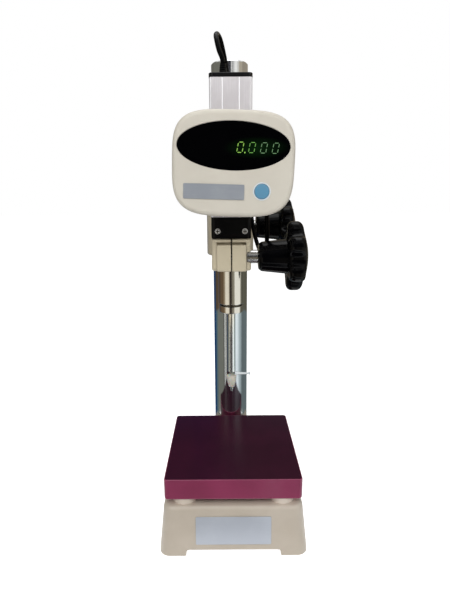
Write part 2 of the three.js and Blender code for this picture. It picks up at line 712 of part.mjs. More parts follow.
function addLead() {
  const glandTop = leadRoute[0][2] - 2 * gap;
  const foot = capTop + gap;
  const [x, y] = leadRoute[0];
  add('cap_gland', 'leadJacket', turned('z', [x, y, 0], [
    [0, foot], [7, foot], [7, foot + 2], [5.2, foot + 3], [3.6, glandTop], [0, glandTop],
  ], medium));
  const points = leadRoute.map((point) => new THREE.Vector3(...point));
  const extrudePath = new THREE.CatmullRomCurve3(points, false, 'centripetal');
  const section = ellipse(0, 0, leadRadius, leadRadius, 8);
  const jacket = new THREE.ExtrudeGeometry(section, { steps: 54, extrudePath, bevelEnabled: false });
  add('lead', 'leadJacket', jacket);
}

addStand();
add('bracket_casting', 'casting', bracketCasting());
addClamp('stem_clamp', stemScrewY, stemScrewZ, clampEarHalf, 31.8, Math.PI / 6);
addClamp('column_clamp', columnScrewY, columnScrewZ, 20, 38, 0.4);
addGaugeBody();
addStem();
addGaugeInside();
addSpindle();
addDisplay();
addLead();

export default model;
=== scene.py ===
import math
import bmesh
import bpy
import numpy as np
from mathutils import Matrix, Vector


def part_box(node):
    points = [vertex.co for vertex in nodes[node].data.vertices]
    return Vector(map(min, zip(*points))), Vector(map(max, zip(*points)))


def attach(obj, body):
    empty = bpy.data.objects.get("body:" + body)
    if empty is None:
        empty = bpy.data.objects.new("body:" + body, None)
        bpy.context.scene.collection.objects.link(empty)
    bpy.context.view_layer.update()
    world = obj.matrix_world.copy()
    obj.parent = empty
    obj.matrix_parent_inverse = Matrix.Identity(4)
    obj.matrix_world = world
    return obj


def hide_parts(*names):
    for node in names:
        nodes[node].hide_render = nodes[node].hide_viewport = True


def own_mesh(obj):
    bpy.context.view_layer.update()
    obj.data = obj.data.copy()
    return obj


# Digital length gauge with its counter display on a column stand, with a measuring table.
# Sizes are millimetres until a mesh is made, from the middle of the table's top face:
# X to the right, Y away from the user, Z up.

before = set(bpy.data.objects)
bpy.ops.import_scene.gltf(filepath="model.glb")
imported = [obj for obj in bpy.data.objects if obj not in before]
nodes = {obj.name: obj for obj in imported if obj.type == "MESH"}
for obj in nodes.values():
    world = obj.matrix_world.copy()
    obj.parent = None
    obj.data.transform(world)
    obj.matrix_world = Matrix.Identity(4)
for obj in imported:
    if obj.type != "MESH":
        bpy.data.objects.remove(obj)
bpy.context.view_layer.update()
mm = 0.001
turn = 2 * math.pi
print("frame loaded:", len(nodes), "nodes")


# colour written as 0 to 255 into the linear values that shaders use
def tone(red, green, blue):
    share = np.array([red, green, blue]) / 255
    linear = np.where(share <= 0.04045, share / 12.92, ((share + 0.055) / 1.055) ** 2.4)
    return (*linear.tolist(), 1.0)


# the line that a cord follows: a centripetal Catmull-Rom curve, each stretch a cubic whose end slopes
# come from its neighbours, weighted by the square root of the distances
def smoothRoute(points, perStretch):
    points = np.asarray(points, float)
    ends = np.vstack([2 * points[0] - points[1], points, 2 * points[-1] - points[-2]])
    p0, p1, p2, p3 = ends[:-3], ends[1:-2], ends[2:-1], ends[3:]
    span = [np.sqrt(np.linalg.norm(b - a, axis=1))[:, None] for a, b in ((p0, p1), (p1, p2), (p2, p3))]
    leave = ((p1 - p0) / span[0] - (p2 - p0) / (span[0] + span[1]) + (p2 - p1) / span[1]) * span[1]
    arrive = ((p2 - p1) / span[1] - (p3 - p1) / (span[1] + span[2]) + (p3 - p2) / span[2]) * span[1]
    t = (np.arange(perStretch) / perStretch)[None, :, None]
    a, b, c, d = (x[:, None, :] for x in (p1, p2, leave, arrive))
    line = a + c * t + (3 * b - 3 * a - 2 * c - d) * t**2 + (2 * a - 2 * b + c + d) * t**3
    return np.vstack([line.reshape(-1, 3), points[-1]])


view = {
    "place": (-8, -557.4, 322.2),
    "tiltDown": 13.06,  # degrees below level
    "roll": -0.41,
    "lens": 28.2,
}
cameraData = bpy.data.cameras.new("camera")
cameraData.lens = view["lens"]
cameraData.clip_start = 0.01
camera = bpy.data.objects.new("camera", cameraData)
bpy.context.scene.collection.objects.link(camera)
aim = Matrix.Rotation(math.radians(90 - view["tiltDown"]), 4, "X")
aim = aim @ Matrix.Rotation(math.radians(view["roll"]), 4, "Z")
camera.matrix_world = Matrix.Translation([x * mm for x in view["place"]]) @ aim
bpy.context.scene.camera = camera
bpy.context.scene.view_settings.view_transform = "Standard"
print("camera placed")


# a shader node with its sockets set by name
def addNode(material, kind, **inputs):
    node = material.node_tree.nodes.new("ShaderNode" + kind)
    for name, value in inputs.items():
        node.inputs[name.replace("_", " ")].default_value = value
    return node


# a finish: slow clouds shift the colour, a quick grain moves roughness and bump
# look: tone and shade are the two colours that clouds mix, rough the range of roughness, grain and
# cloud the patterns' scale per metre, stretch the pattern's scale along X, Y, Z, bump in millimetres
def finish(name, look):
    material = bpy.data.materials.new(name)
    material.use_nodes = True
    links = material.node_tree.links
    shader = material.node_tree.nodes["Principled BSDF"]
    shader.inputs["Metallic"].default_value = look.get("metal", 0.0)
    shader.inputs["Coat Weight"].default_value = look.get("coat", 0.0)
    shader.inputs["Coat Roughness"].default_value = look.get("coatRough", 0.08)
    shader.inputs["IOR"].default_value = look.get("ior", 1.5)
    shader.inputs["Specular IOR Level"].default_value = look.get("specular", 0.5)
    shader.inputs["Subsurface Weight"].default_value = look.get("inner", 0.0)
    shader.inputs["Subsurface Scale"].default_value = 0.004
    shader.inputs["Transmission Weight"].default_value = look.get("clear", 0.0)
    shader.inputs["Anisotropic"].default_value = look.get("drawn", 0.0)
    place = addNode(material, "TexCoord")
    mapping = addNode(material, "Mapping", Scale=look.get("stretch", (1, 1, 1)))
    links.new(place.outputs["Object"], mapping.inputs["Vector"])
    clouds = addNode(material, "TexNoise", Scale=look.get("cloud", 14), Detail=4.0, Roughness=0.6)
    links.new(place.outputs["Object"], clouds.inputs["Vector"])
    grain = addNode(material, "TexNoise", Scale=look.get("grain", 900), Detail=look.get("detail", 3.0))
    links.new(mapping.outputs["Vector"], grain.inputs["Vector"])
    mix = addNode(material, "Mix")
    mix.data_type = "RGBA"
    mix.inputs[6].default_value = tone(*look["tone"])
    mix.inputs[7].default_value = tone(*look.get("shade", look["tone"]))
    spread = addNode(material, "MapRange")
    spread.inputs["From Min"].default_value = 0.35
    spread.inputs["From Max"].default_value = 0.65
    both = addNode(material, "Math")
    both.operation = "MULTIPLY_ADD"
    both.inputs[1].default_value = look.get("fleck", 0.35)
    links.new(grain.outputs["Fac"], both.inputs[0])
    links.new(clouds.outputs["Fac"], spread.inputs["Value"])
    links.new(spread.outputs["Result"], both.inputs[2])
    both.use_clamp = True
    links.new(both.outputs["Value"], mix.inputs["Factor"])
    links.new(mix.outputs[2], shader.inputs["Base Color"])
    low, high = look["rough"]
    polish = addNode(material, "MapRange")
    polish.inputs["From Min"].default_value = 0.3
    polish.inputs["From Max"].default_value = 0.7
    polish.inputs["To Min"].default_value = low
    polish.inputs["To Max"].default_value = high
    links.new(grain.outputs["Fac"], polish.inputs["Value"])
    links.new(polish.outputs["Result"], shader.inputs["Roughness"])
    bump = addNode(material, "Bump", Strength=look.get("relief", 0.4), Distance=look.get("bump", 0.02) * mm)
    links.new(grain.outputs["Fac"], bump.inputs["Height"])
    links.new(bump.outputs["Normal"], shader.inputs["Normal"])
    if "halo" in look:  # a faint light round a middle, fading out at the given half widths in millimetres
        middle, half, colour = look["halo"]
        around = addNode(material, "Mapping", Location=[-m / h for m, h in zip(middle, half)],
                         Scale=[1 / (h * mm) for h in half])
        ball = addNode(material, "TexGradient")
        ball.gradient_type = "SPHERICAL"
        halo = addNode(material, "Mix")
        halo.data_type = "RGBA"
        halo.inputs[6].default_value = (0, 0, 0, 1)
        halo.inputs[7].default_value = tone(*colour)
        links.new(place.outputs["Object"], around.inputs["Vector"])
        links.new(around.outputs["Vector"], ball.inputs["Vector"])
        links.new(ball.outputs["Fac"], halo.inputs["Factor"])
        links.new(halo.outputs[2], shader.inputs["Emission Color"])
        shader.inputs["Emission Strength"].default_value = 1.0
    if "glow" in look:
        shader.inputs["Emission Color"].default_value = tone(*look["glow"])
        shader.inputs["Emission Strength"].default_value = look.get("glowStrength", 1.0)
    return material


finishes = {
    "enamel": finish("enamel", {"tone": (201, 190, 175), "shade": (190, 179, 163), "rough": (0.3, 0.42),
                                "grain": 1100, "bump": 0.05, "coat": 0.15}),
    "enamelWarm": finish("enamel_bracket", {"tone": (204, 194, 169), "shade": (194, 183, 158),
                                            "rough": (0.3, 0.42), "grain": 1100, "bump": 0.04, "coat": 0.15}),
    # a paler cream: painted light, for the lit sides of the base's bosses
    "bossPaintedLight": finish("boss_painted_light", {"tone": (224, 212, 198), "shade": (212, 199, 184), "rough": (0.3, 0.42),
                                     "grain": 1100, "bump": 0.04, "coat": 0.15}),
    # a darker steel that is painted shade, for the stem ring's neck groove and the screws' cross recesses
    "neck": finish("neck_painted_shade", {"tone": (104, 99, 88), "shade": (84, 80, 72), "metal": 1.0,
                                  "rough": (0.3, 0.45), "grain": 1500, "bump": 0.006}),
    # the table top's low roughness is its polish; its dark colour is painted shade
    "tableTopPaintedShade": finish("table_top_painted_shade", {"tone": (61, 16, 41), "shade": (51, 12, 35), "rough": (0.24, 0.3),
                                     "grain": 2600, "bump": 0.004, "fleck": 0.6, "specular": 0.13}),
    "tableSide": finish("table_side", {"tone": (144, 50, 88), "shade": (130, 44, 78), "rough": (0.3, 0.4),
                                       "grain": 1500, "bump": 0.02}),
    "ground": finish("ground_steel", {"tone": (222, 222, 220), "shade": (208, 209, 210), "metal": 1.0,
                                      "rough": (0.07, 0.12), "grain": 300, "stretch": (0.3, 0.3, 14),
                                      "bump": 0.001, "fleck": 0.5}),
    "spindle": finish("spindle_steel", {"tone": (240, 238, 232), "shade": (228, 227, 222), "metal": 1.0,
                                        "rough": (0.2, 0.27), "grain": 300, "stretch": (0.3, 0.3, 14),
                                        "bump": 0.001, "fleck": 0.5}),
    "screw": finish("screw_steel", {"tone": (200, 200, 198), "shade": (176, 176, 174), "metal": 1.0,
                                    "rough": (0.16, 0.28), "grain": 1800, "bump": 0.006}),
    "silver": finish("silver_screw", {"tone": (250, 250, 248), "shade": (228, 228, 226), "metal": 0.3,
                                      "rough": (0.28, 0.4), "grain": 1900, "bump": 0.006}),
    "knob": finish("knob_plastic", {"tone": (5, 5, 7), "shade": (3, 3, 4), "rough": (0.08, 0.13),
                                    "grain": 700, "bump": 0.01, "specular": 0.09}),
    "blackPaint": finish("black_paint", {"tone": (7, 7, 9), "shade": (5, 5, 7), "rough": (0.3, 0.42),
                                         "grain": 2400, "bump": 0.015, "specular": 0.22}),
    "blackCap": finish("black_cap", {"tone": (6, 6, 8), "shade": (4, 4, 6), "rough": (0.22, 0.32),
                                     "grain": 2200, "bump": 0.01, "specular": 0.28}),
    "blackPlastic": finish("black_plastic", {"tone": (14, 14, 16), "shade": (9, 9, 11),
                                             "rough": (0.34, 0.48), "grain": 1600, "bump": 0.02,
                                             "specular": 0.35}),
    "anodised": finish("anodised", {"tone": (234, 230, 233), "shade": (210, 206, 209), "metal": 0.12,
                                    "rough": (0.3, 0.42), "grain": 900, "stretch": (1.6, 1.6, 0.03),
                                    "bump": 0.012, "fleck": 0.9}),
    # near-white with a faint glow: painted highlight, for the body's seams and front corner flats
    "paintedHighlight": finish("painted_highlight", {"tone": (252, 252, 252), "shade": (244, 244, 247), "metal": 0.0,
                                         "rough": (0.2, 0.3), "grain": 900, "stretch": (1.6, 1.6, 0.05),
                                         "bump": 0.004, "glow": (96, 96, 98)}),
    "creamShell": finish("cream_shell", {"tone": (211, 206, 193), "shade": (203, 197, 184),
                                         "rough": (0.42, 0.55), "grain": 2600, "bump": 0.03}),
    "window": finish("dark_window", {"tone": (3, 3, 4), "shade": (2, 2, 3), "rough": (0.03, 0.06),
                                     "grain": 60, "bump": 0.002, "specular": 0.4,
                                     "halo": ((25.5, -57, 364.8), (34, 20, 11), (7, 30, 7))}),
    "button": finish("blue_button", {"tone": (92, 149, 180), "shade": (84, 140, 172), "rough": (0.35, 0.45),
                                     "grain": 2200, "bump": 0.02, "inner": 0.1}),
    "pale": finish("pale_plastic", {"tone": (222, 228, 230), "shade": (210, 218, 222),
                                    "rough": (0.35, 0.45), "grain": 2200, "bump": 0.01}),
    "labelPlate": finish("label_plate", {"tone": (194, 200, 209), "shade": (184, 190, 200), "metal": 0.2,
                                         "rough": (0.32, 0.42), "grain": 800, "stretch": (0.05, 1, 2.5),
                                         "bump": 0.004, "fleck": 0.7}),
    "namePlate": finish("name_plate", {"tone": (170, 175, 179), "shade": (150, 155, 163), "metal": 0.15,
                                       "rough": (0.34, 0.44), "grain": 900, "stretch": (0.05, 1, 2.5),
                                       "bump": 0.004, "fleck": 0.7}),
    "nylon": finish("nylon", {"tone": (212, 209, 197), "shade": (198, 195, 183), "rough": (0.3, 0.42),
                              "grain": 1500, "bump": 0.02, "inner": 0.35}),
    "jacket": finish("lead_pvc", {"tone": (5, 5, 6), "shade": (3, 3, 4), "rough": (0.1, 0.16),
                                  "grain": 1300, "bump": 0.01, "specular": 0.07}),
    "bronze": finish("bronze", {"tone": (178, 132, 72), "shade": (150, 104, 52), "metal": 1.0,
                                "rough": (0.28, 0.45), "grain": 1400, "bump": 0.01}),
    "board": finish("circuit_board", {"tone": (34, 98, 58), "shade": (24, 74, 44), "rough": (0.3, 0.6),
                                      "grain": 700, "bump": 0.03, "fleck": 0.8}),
    "glass": finish("scale_glass", {"tone": (206, 226, 222), "shade": (190, 214, 208), "clear": 0.85,
                                    "rough": (0.02, 0.06), "grain": 300, "bump": 0.001}),
    "digitBright": finish("digit_bright", {"tone": (60, 90, 20), "rough": (0.4, 0.5),
                                           "glow": (146, 200, 84)}),
    "digitMiddle": finish("digit_middle", {"tone": (50, 80, 30), "rough": (0.4, 0.5), "glow": (98, 158, 66)}),
    "digitDim": finish("digit_dim", {"tone": (50, 70, 40), "rough": (0.4, 0.5), "glow": (98, 136, 96)}),
}
print("finishes mixed:", len(finishes))

# where a point drawn as two sizes across and one along its axis lands, as X, Y, Z
order = {"x": [2, 0, 1], "y": [0, 2, 1], "z": [0, 1, 2]}


# a line with rounded corners: an arc that touches both sides takes each corner's place, starting
# radius / tan(half the inner angle) before it
def rounded(line, radii, steps=5, closed=False):
    line = np.asarray(line, float)
    radii = np.broadcast_to(np.asarray(radii, float), len(line))
    stretches = []
    for i, (corner, radius) in enumerate(zip(line, radii)):
        if radius <= 0 or (not closed and i in (0, len(line) - 1)):
            stretches.append(corner[None])
            continue
        back, ahead = line[i - 1] - corner, line[(i + 1) % len(line)] - corner
        back, ahead = back / np.linalg.norm(back), ahead / np.linalg.norm(ahead)
        half = math.acos(max(-1, min(1, float(back @ ahead)))) / 2
        middle = back + ahead
        centre = corner + middle / np.linalg.norm(middle) * radius / math.sin(half)
        first = corner + back * radius / math.tan(half) - centre
        last = corner + ahead * radius / math.tan(half) - centre
        start = math.atan2(first[1], first[0])
        sweep = (math.atan2(last[1], last[0]) - start + math.pi) % turn - math.pi
        angle = start + np.linspace(0, 1, steps + 1) * sweep
        stretches.append(centre + radius * np.column_stack([np.cos(angle), np.sin(angle)]))
    return np.concatenate(stretches)


# a closed mesh from a grid of points: rows are joined by quads that wrap round, and the end rows close
# with a flat face, or in a point where they have none to show
def skin(name, rows, ring=False):
    rows = np.asarray(rows, float)
    count, sides = rows.shape[:2]
    index = np.arange(count * sides).reshape(count, sides)
    lower = index if ring else index[:-1]
    upper = np.roll(index, -1, 0) if ring else index[1:]
    quads = np.stack([lower, np.roll(lower, -1, 1), np.roll(upper, -1, 1), upper], -1).reshape(-1, 4)
    faces = quads.tolist()
    if not ring:
        ends = ((rows[0], index[0][::-1]), (rows[-1], index[-1]))
        faces += [corners.tolist() for points, corners in ends if np.ptp(points, axis=0).max() > 1e-6]
    mesh = bpy.data.meshes.new(name)
    mesh.from_pydata((rows.reshape(-1, 3) * mm).tolist(), [], faces)
    work = bmesh.new()
    work.from_mesh(mesh)
    bmesh.ops.remove_doubles(work, verts=work.verts, dist=1e-7)
    if work.calc_volume(signed=True) < 0:
        bmesh.ops.reverse_faces(work, faces=work.faces)
    work.to_mesh(mesh)
    work.free()
    piece = bpy.data.objects.new(name, mesh)
    bpy.context.scene.collection.objects.link(piece)
    return piece


# a turned piece: each profile point, radius and place along the axis, goes round in a circle
def turned(name, axis, at, profile, sides=64, ring=False):
    profile = np.asarray(profile, float)
    angle = np.arange(sides) * turn / sides
    across = profile[:, None, :1] * np.column_stack([np.cos(angle), np.sin(angle)])[None]
    along = np.broadcast_to(profile[:, None, 1:], (len(profile), sides, 1))
    return skin(name, np.concatenate([across, along], -1)[..., order[axis]] + np.asarray(at, float), ring)


# a flat shape with thickness: levels list how far the outline is drawn in and how high it stands
def slab(name, axis, outline, levels, at=(0, 0, 0)):
    rows = [np.column_stack([outline(inset), np.full(len(outline(inset)), high)]) for inset, high in levels]
    return skin(name, np.stack(rows)[..., order[axis]] + np.asarray(at, float))


# levels of a slab whose edges are quarter rounds: drawn in by radius (1 - sin t), up by radius (1 - cos t)
def edged(low, high, radius, steps=4, lowRadius=None):
    t = np.linspace(0, math.pi / 2, steps + 1)
    first = radius if lowRadius is None else lowRadius
    foot = np.column_stack([first * (1 - np.sin(t)), low + first * (1 - np.cos(t))])
    head = np.column_stack([radius * (1 - np.sin(t)), high - radius * (1 - np.cos(t))])[::-1]
    return np.vstack([foot, head])


# a rectangle with quarter round corners, drawn in by inset: corner centre plus radius times (cos, sin)
def rectangle(x0, x1, y0, y1, radius, steps=6):
    t = np.linspace(0, math.pi / 2, steps + 1)
    angle = np.concatenate([t - math.pi / 2, t, t + math.pi / 2, t + math.pi])
    centreX = np.repeat([x1 - radius, x1 - radius, x0 + radius, x0 + radius], steps + 1)
    centreY = np.repeat([y0 + radius, y1 - radius, y1 - radius, y0 + radius], steps + 1)

    def outline(inset=0):
        reach = radius - inset
        return np.column_stack([centreX + reach * np.cos(angle), centreY + reach * np.sin(angle)])

    return outline


# an ellipse drawn in by inset: middle plus each half size, less inset, times (cos, sin)
def ellipse(x, y, halfWidth, halfHeight, steps=96):
    angle = np.arange(steps) * turn / steps

    def outline(inset=0):
        return np.column_stack([x + (halfWidth - inset) * np.cos(angle),
                                y + (halfHeight - inset) * np.sin(angle)])

    return outline


# modifiers worked into the mesh
def bake(piece):
    graph = bpy.context.evaluated_depsgraph_get()
    mesh = bpy.data.meshes.new_from_object(piece.evaluated_get(graph))
    piece.modifiers.clear()
    piece.data = mesh
    return piece


# one exact boolean for each tool, which is used up
def combine(piece, operation, *tools):
    for tool in tools:
        step = piece.modifiers.new("combine", "BOOLEAN")
        step.operation = operation
        step.object = tool
        step.solver = "EXACT"
        bake(piece)
        bpy.data.objects.remove(tool)
    return piece


def cut(piece, *tools):
    return combine(piece, "DIFFERENCE", *tools)


def join(piece, *tools):
    return combine(piece, "UNION", *tools)


# a piece as it is kept: shading, finish, body and the CAD nodes that it stands for; the slot argument is not used
def keep(piece, look, body, slot, *replaced, sharp=34):
    mesh = piece.data
    mesh.polygons.foreach_set("use_smooth", np.ones(len(mesh.polygons), bool))
    mesh.set_sharp_from_angle(angle=math.radians(sharp))
    if not mesh.materials:
        mesh.materials.append(finishes[look])
    step = piece.modifiers.new("even normals", "WEIGHTED_NORMAL")
    step.keep_sharp = True
    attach(piece, body)
    if replaced:
        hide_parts(*replaced)
    return piece


# two finishes on one piece: a face takes the second where the test holds for its middle, in millimetres
def twoTone(piece, first, second, test):
    mesh = piece.data
    mesh.materials.clear()
    mesh.materials.append(finishes[first])
    mesh.materials.append(finishes[second])
    middles = np.zeros(len(mesh.polygons) * 3)
    mesh.polygons.foreach_get("center", middles)
    x, y, z = middles.reshape(-1, 3).T / mm
    mesh.polygons.foreach_set("material_index", test(x, y, z).astype(np.int32))


# a node's lowest and highest corner in millimetres
def corners(node):
    low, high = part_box(node)
    return np.array(low) / mm, np.array(high) / mm


# several pieces in one mesh, as one tool or one piece
def gather(*pieces):
    work = bmesh.new()
    for piece in pieces:
        work.from_mesh(piece.data)
    work.to_mesh(pieces[0].data)
    work.free()
    for piece in pieces[1:]:
        bpy.data.objects.remove(piece)
    return pieces[0]


# overlapping blocks become one skin of small even faces, calmed so that inner corners turn round
def melt(piece, voxel, rounds):
    step = piece.modifiers.new("melt", "REMESH")
    step.mode = "VOXEL"
    step.voxel_size = voxel * mm
    calm = piece.modifiers.new("calm", "SMOOTH")
    calm.factor = 0.5
    calm.iterations = rounds
    return bake(piece)


# closes any sliver that a cut has left open
def mend(piece):
    work = bmesh.new()
    work.from_mesh(piece.data)
    bmesh.ops.remove_doubles(work, verts=work.verts, dist=1e-6)
    bmesh.ops.dissolve_degenerate(work, edges=work.edges, dist=1e-7)
    bmesh.ops.holes_fill(work, edges=[edge for edge in work.edges if edge.is_boundary], sides=0)
    bmesh.ops.recalc_face_normals(work, faces=work.faces)
    work.to_mesh(piece.data)
    work.free()
    return piece


# the gauge's lead: out of the top cap, over in a loop, down behind the body, up into the display's back
lead = {
    "radius": 2.75, "sides": 24, "perStretch": 9,
    "route": [
        (-8.5, 34, 466.8), (-9.3, 34, 471.5), (-12.8, 35, 480), (-15.4, 39, 491), (-16.4, 46, 499.5),
        (-14.6, 54.5, 502.7), (-11.5, 62.5, 499.5), (-8.4, 69.5, 490), (-5.5, 74, 477.5), (-3, 76.2, 462.5),
        (-1.2, 76.6, 445), (0, 76.6, 424), (3, 76.6, 402), (8, 76.6, 380), (14.5, 76.6, 357),
        (21, 76.8, 333), (25, 76.8, 310), (27.8, 75, 289), (31.2, 70.5, 269), (35.6, 62.5, 252.5),
        (39.8, 51, 243), (42.4, 38.5, 242.8), (43.8, 28.6, 250.5), (44.2, 23.5, 263), (44, 21.6, 277),
        (43.4, 20.2, 290), (42.8, 15.6, 301.5), (42.6, 8.5, 308), (42.6, 2.2, 308.5),
    ],
}


# a tube: each ring stands square to the line, on the two directions found by crossing the line's own
# direction with X and then with the result
def makeLead():
    line = smoothRoute(lead["route"], lead["perStretch"])
    along = np.gradient(line, axis=0)
    along /= np.linalg.norm(along, axis=1)[:, None]
    side = np.cross(along, [1.0, 0.0, 0.0])
    side /= np.linalg.norm(side, axis=1)[:, None]
    other = np.cross(along, side)
    angle = np.arange(lead["sides"]) * turn / lead["sides"]
    ring = np.cos(angle)[None, :, None] * side[:, None] + np.sin(angle)[None, :, None] * other[:, None]
    piece = skin("lead_jacket", line[:, None] + lead["radius"] * ring)
    keep(piece, "jacket", "gauge", "lead_jacket", "lead")


makeLead()

base = {
    "halfWidth": 81.6, "front": -81, "back": 150, "corner": 12, "top": -34, "floor": -96.5,
    "draft": 6.3,  # how far the sides lean out at the floor
    "topEdge": 5, "floorEdge": 1.2, "archHalf": 55.5, "archTop": -88.6, "archCorner": 2,
    "sideArch": (-54, 125), "bossX": 58, "bossY": 62, "bossRadius": 15, "bossTop": -26.3, "bossFoot": 3,
    "socketRadius": 37, "socketTop": -27, "columnHole": 24.3, "socketFloor": -68,
    "boltHead": 17, "boltBore": 6.5, "boltSeat": -76, "screwHead": 6, "screwBore": 3.4, "screwSeat": -50,
    "voxel": 1.4, "calm": 3,
}


# half the section of a plain bore, and of one that narrows at its seat, from below the floor up
def bore(radius, low, high):
    return [(0, low), (radius, low), (radius, high), (0, high)]


def stepBore(wide, seat, narrow, high, low=-120):
    return [(0, low), (wide, low), (wide, seat), (narrow, seat), (narrow, high), (0, high)]


# the casting's skin: a rounded rectangle whose sides move out by draft times the share of the height
# below the top, with quarter round edges
def makeBase():
    b = base
    levels = edged(b["floor"], b["top"], b["topEdge"], 8, b["floorEdge"])
    rows = []
    for inset, high in levels:
        out = b["draft"] * (b["top"] - high) / (b["top"] - b["floor"])
        outline = rectangle(-b["halfWidth"] - out, b["halfWidth"] + out,
                            b["front"] - out, b["back"] + out, b["corner"], 12)(inset)
        rows.append(np.column_stack([outline, np.full(len(outline), high)]))
    piece = skin("base_casting_cast", np.stack(rows))
    columnY = (corners("column")[0][1] + corners("column")[1][1]) / 2
    r, high, foot = b["socketRadius"], b["socketTop"], b["bossFoot"]
    profile = rounded([(0, high), (r, high), (r, b["top"]), (r + foot, b["top"]), (r + foot, b["top"] - 2),
                       (0, b["top"] - 2)], [0, 2, foot - 0.1, 0, 0, 0], 6)
    join(piece, turned("socket", "z", (0, columnY, 0), profile, 96))
    arch = rectangle(-b["archHalf"], b["archHalf"], b["floor"] - 20, b["archTop"], b["archCorner"])
    side = rectangle(*b["sideArch"], b["floor"] - 20, b["archTop"], b["archCorner"])
    cut(piece, slab("arch", "y", arch, [(0, -200), (0, 300)]), slab("side", "x", side, [(0, -200), (0, 200)]))
    melt(piece, b["voxel"], b["calm"])
    middles = [(x, y) for x in (-b["bossX"], b["bossX"]) for y in (-b["bossY"], b["bossY"])]
    r, high = b["bossRadius"], b["bossTop"]
    profile = rounded([(0, high), (r, high), (r, b["top"] - 4), (0, b["top"] - 4)], [0, 1, 0, 0], 5)
    join(piece, gather(*[turned("boss", "z", (*at, 0), profile, 72) for at in middles]))
    boltBore = stepBore(b["boltHead"], b["boltSeat"], b["boltBore"], -60)
    screwBore = stepBore(b["screwHead"], b["screwSeat"], b["screwBore"], 0)
    holes = [turned("bolt bore", "z", (0, columnY, 0), boltBore, 48)]
    holes += [turned("hole", "z", (x, y, 0), screwBore, 32) for x, y in middles]
    cut(piece, gather(*holes))
    cut(piece, turned("bore", "z", (0, columnY, 0), bore(b["columnHole"], b["socketFloor"], 0), 96))
    mend(piece)

    # the bosses' faces take the paler cream, painted light where they catch the lamps below the table's edge
    def onBoss(x, y, z):
        off = np.hypot(np.abs(x) - b["bossX"], np.abs(y) - b["bossY"])
        return (off < b["bossRadius"] + 0.1) & (z > b["top"] + 0.4)

    twoTone(piece, "enamel", "bossPaintedLight", onBoss)
    keep(piece, "enamel", "stand", "casting", "base_casting")


makeBase()

plate = {"width": 88, "height": 34.4, "thick": 0.8, "corner": 1.5, "middle": -63.5, "off": 0.3}


# a thin rounded rectangle, tilted by the draft's angle and laid on the base's leaning front
def makeLabelPlate():
    p, b = plate, base
    lean = math.atan2(b["draft"], b["top"] - b["floor"])
    face = b["front"] - math.tan(lean) * (b["top"] - p["middle"]) - p["off"]
    outline = rectangle(-p["width"] / 2, p["width"] / 2, -p["height"] / 2, p["height"] / 2, p["corner"])
    piece = slab("base_label_blank", "y", outline, edged(-p["thick"], 0, 0.25, 3))
    place = Matrix.Translation([0, face * mm, p["middle"] * mm]) @ Matrix.Rotation(-lean, 4, "X")
    piece.data.transform(place)
    keep(piece, "labelPlate", "stand", "label_plate", "base_label_plate")


makeLabelPlate()

table = {"corner": 4, "edge": 1.1, "lowEdge": 2.4}


# the slab: its outline drawn in along a quarter round at each edge; the top face alone is polished, and its much darker
# colour is painted shade
def makeTable():
    low, high = corners("measuring_table")
    outline = rectangle(low[0], high[0], low[1], high[1], table["corner"], 8)
    piece = slab("table_slab", "z", outline, edged(low[2], high[2], table["edge"], 4, table["lowEdge"]))
    twoTone(piece, "tableSide", "tableTopPaintedShade", lambda x, y, z: z > high[2] - 0.01)
    keep(piece, "tableTopPaintedShade", "stand", "table", "measuring_table")


makeTable()

column = {"radius": 24, "chamfer": 1.5, "centre": 2.6, "boltHole": 6.3, "boltDeep": 30}


# the bar: a profile turned round Z, with a chamfer and a centre mark on top and a bolt hole below
def makeColumn():
    c = column
    low, high = corners("column")
    middle = (low + high) / 2
    profile = rounded([(0, low[2] + c["boltDeep"]), (c["boltHole"], low[2] + c["boltDeep"]),
                       (c["boltHole"], low[2]), (c["radius"] - 1, low[2]), (c["radius"], low[2] + 1),
                       (c["radius"], high[2] - c["chamfer"]), (c["radius"] - c["chamfer"], high[2]),
                       (c["centre"], high[2]), (0, high[2] - 1.6 * c["centre"])],
                      [0, 0, 0, 0.3, 0.3, 0.5, 0.5, 0.2, 0], 3)
    piece = turned("column_bar", "z", (middle[0], middle[1], 0), profile, 128)
    keep(piece, "ground", "stand", "ground_steel", "column")


makeColumn()


underScrews = {
    "head": 5, "headHigh": 6, "shank": 3, "socket": 2.9, "socketDeep": 3,
    "boltHex": 11, "boltHexHigh": 6.5, "washer": 14, "washerHigh": 7.5, "boltShank": 6,
}


# hexagon socket or hexagon head: six corners at a distance from the middle, an outline for slab
def hexagon(x, y, across):
    angle = np.arange(6) * turn / 6
    return lambda drawn=0: np.column_stack([x + (across - drawn) * np.cos(angle),
                                            y + (across - drawn) * np.sin(angle)])


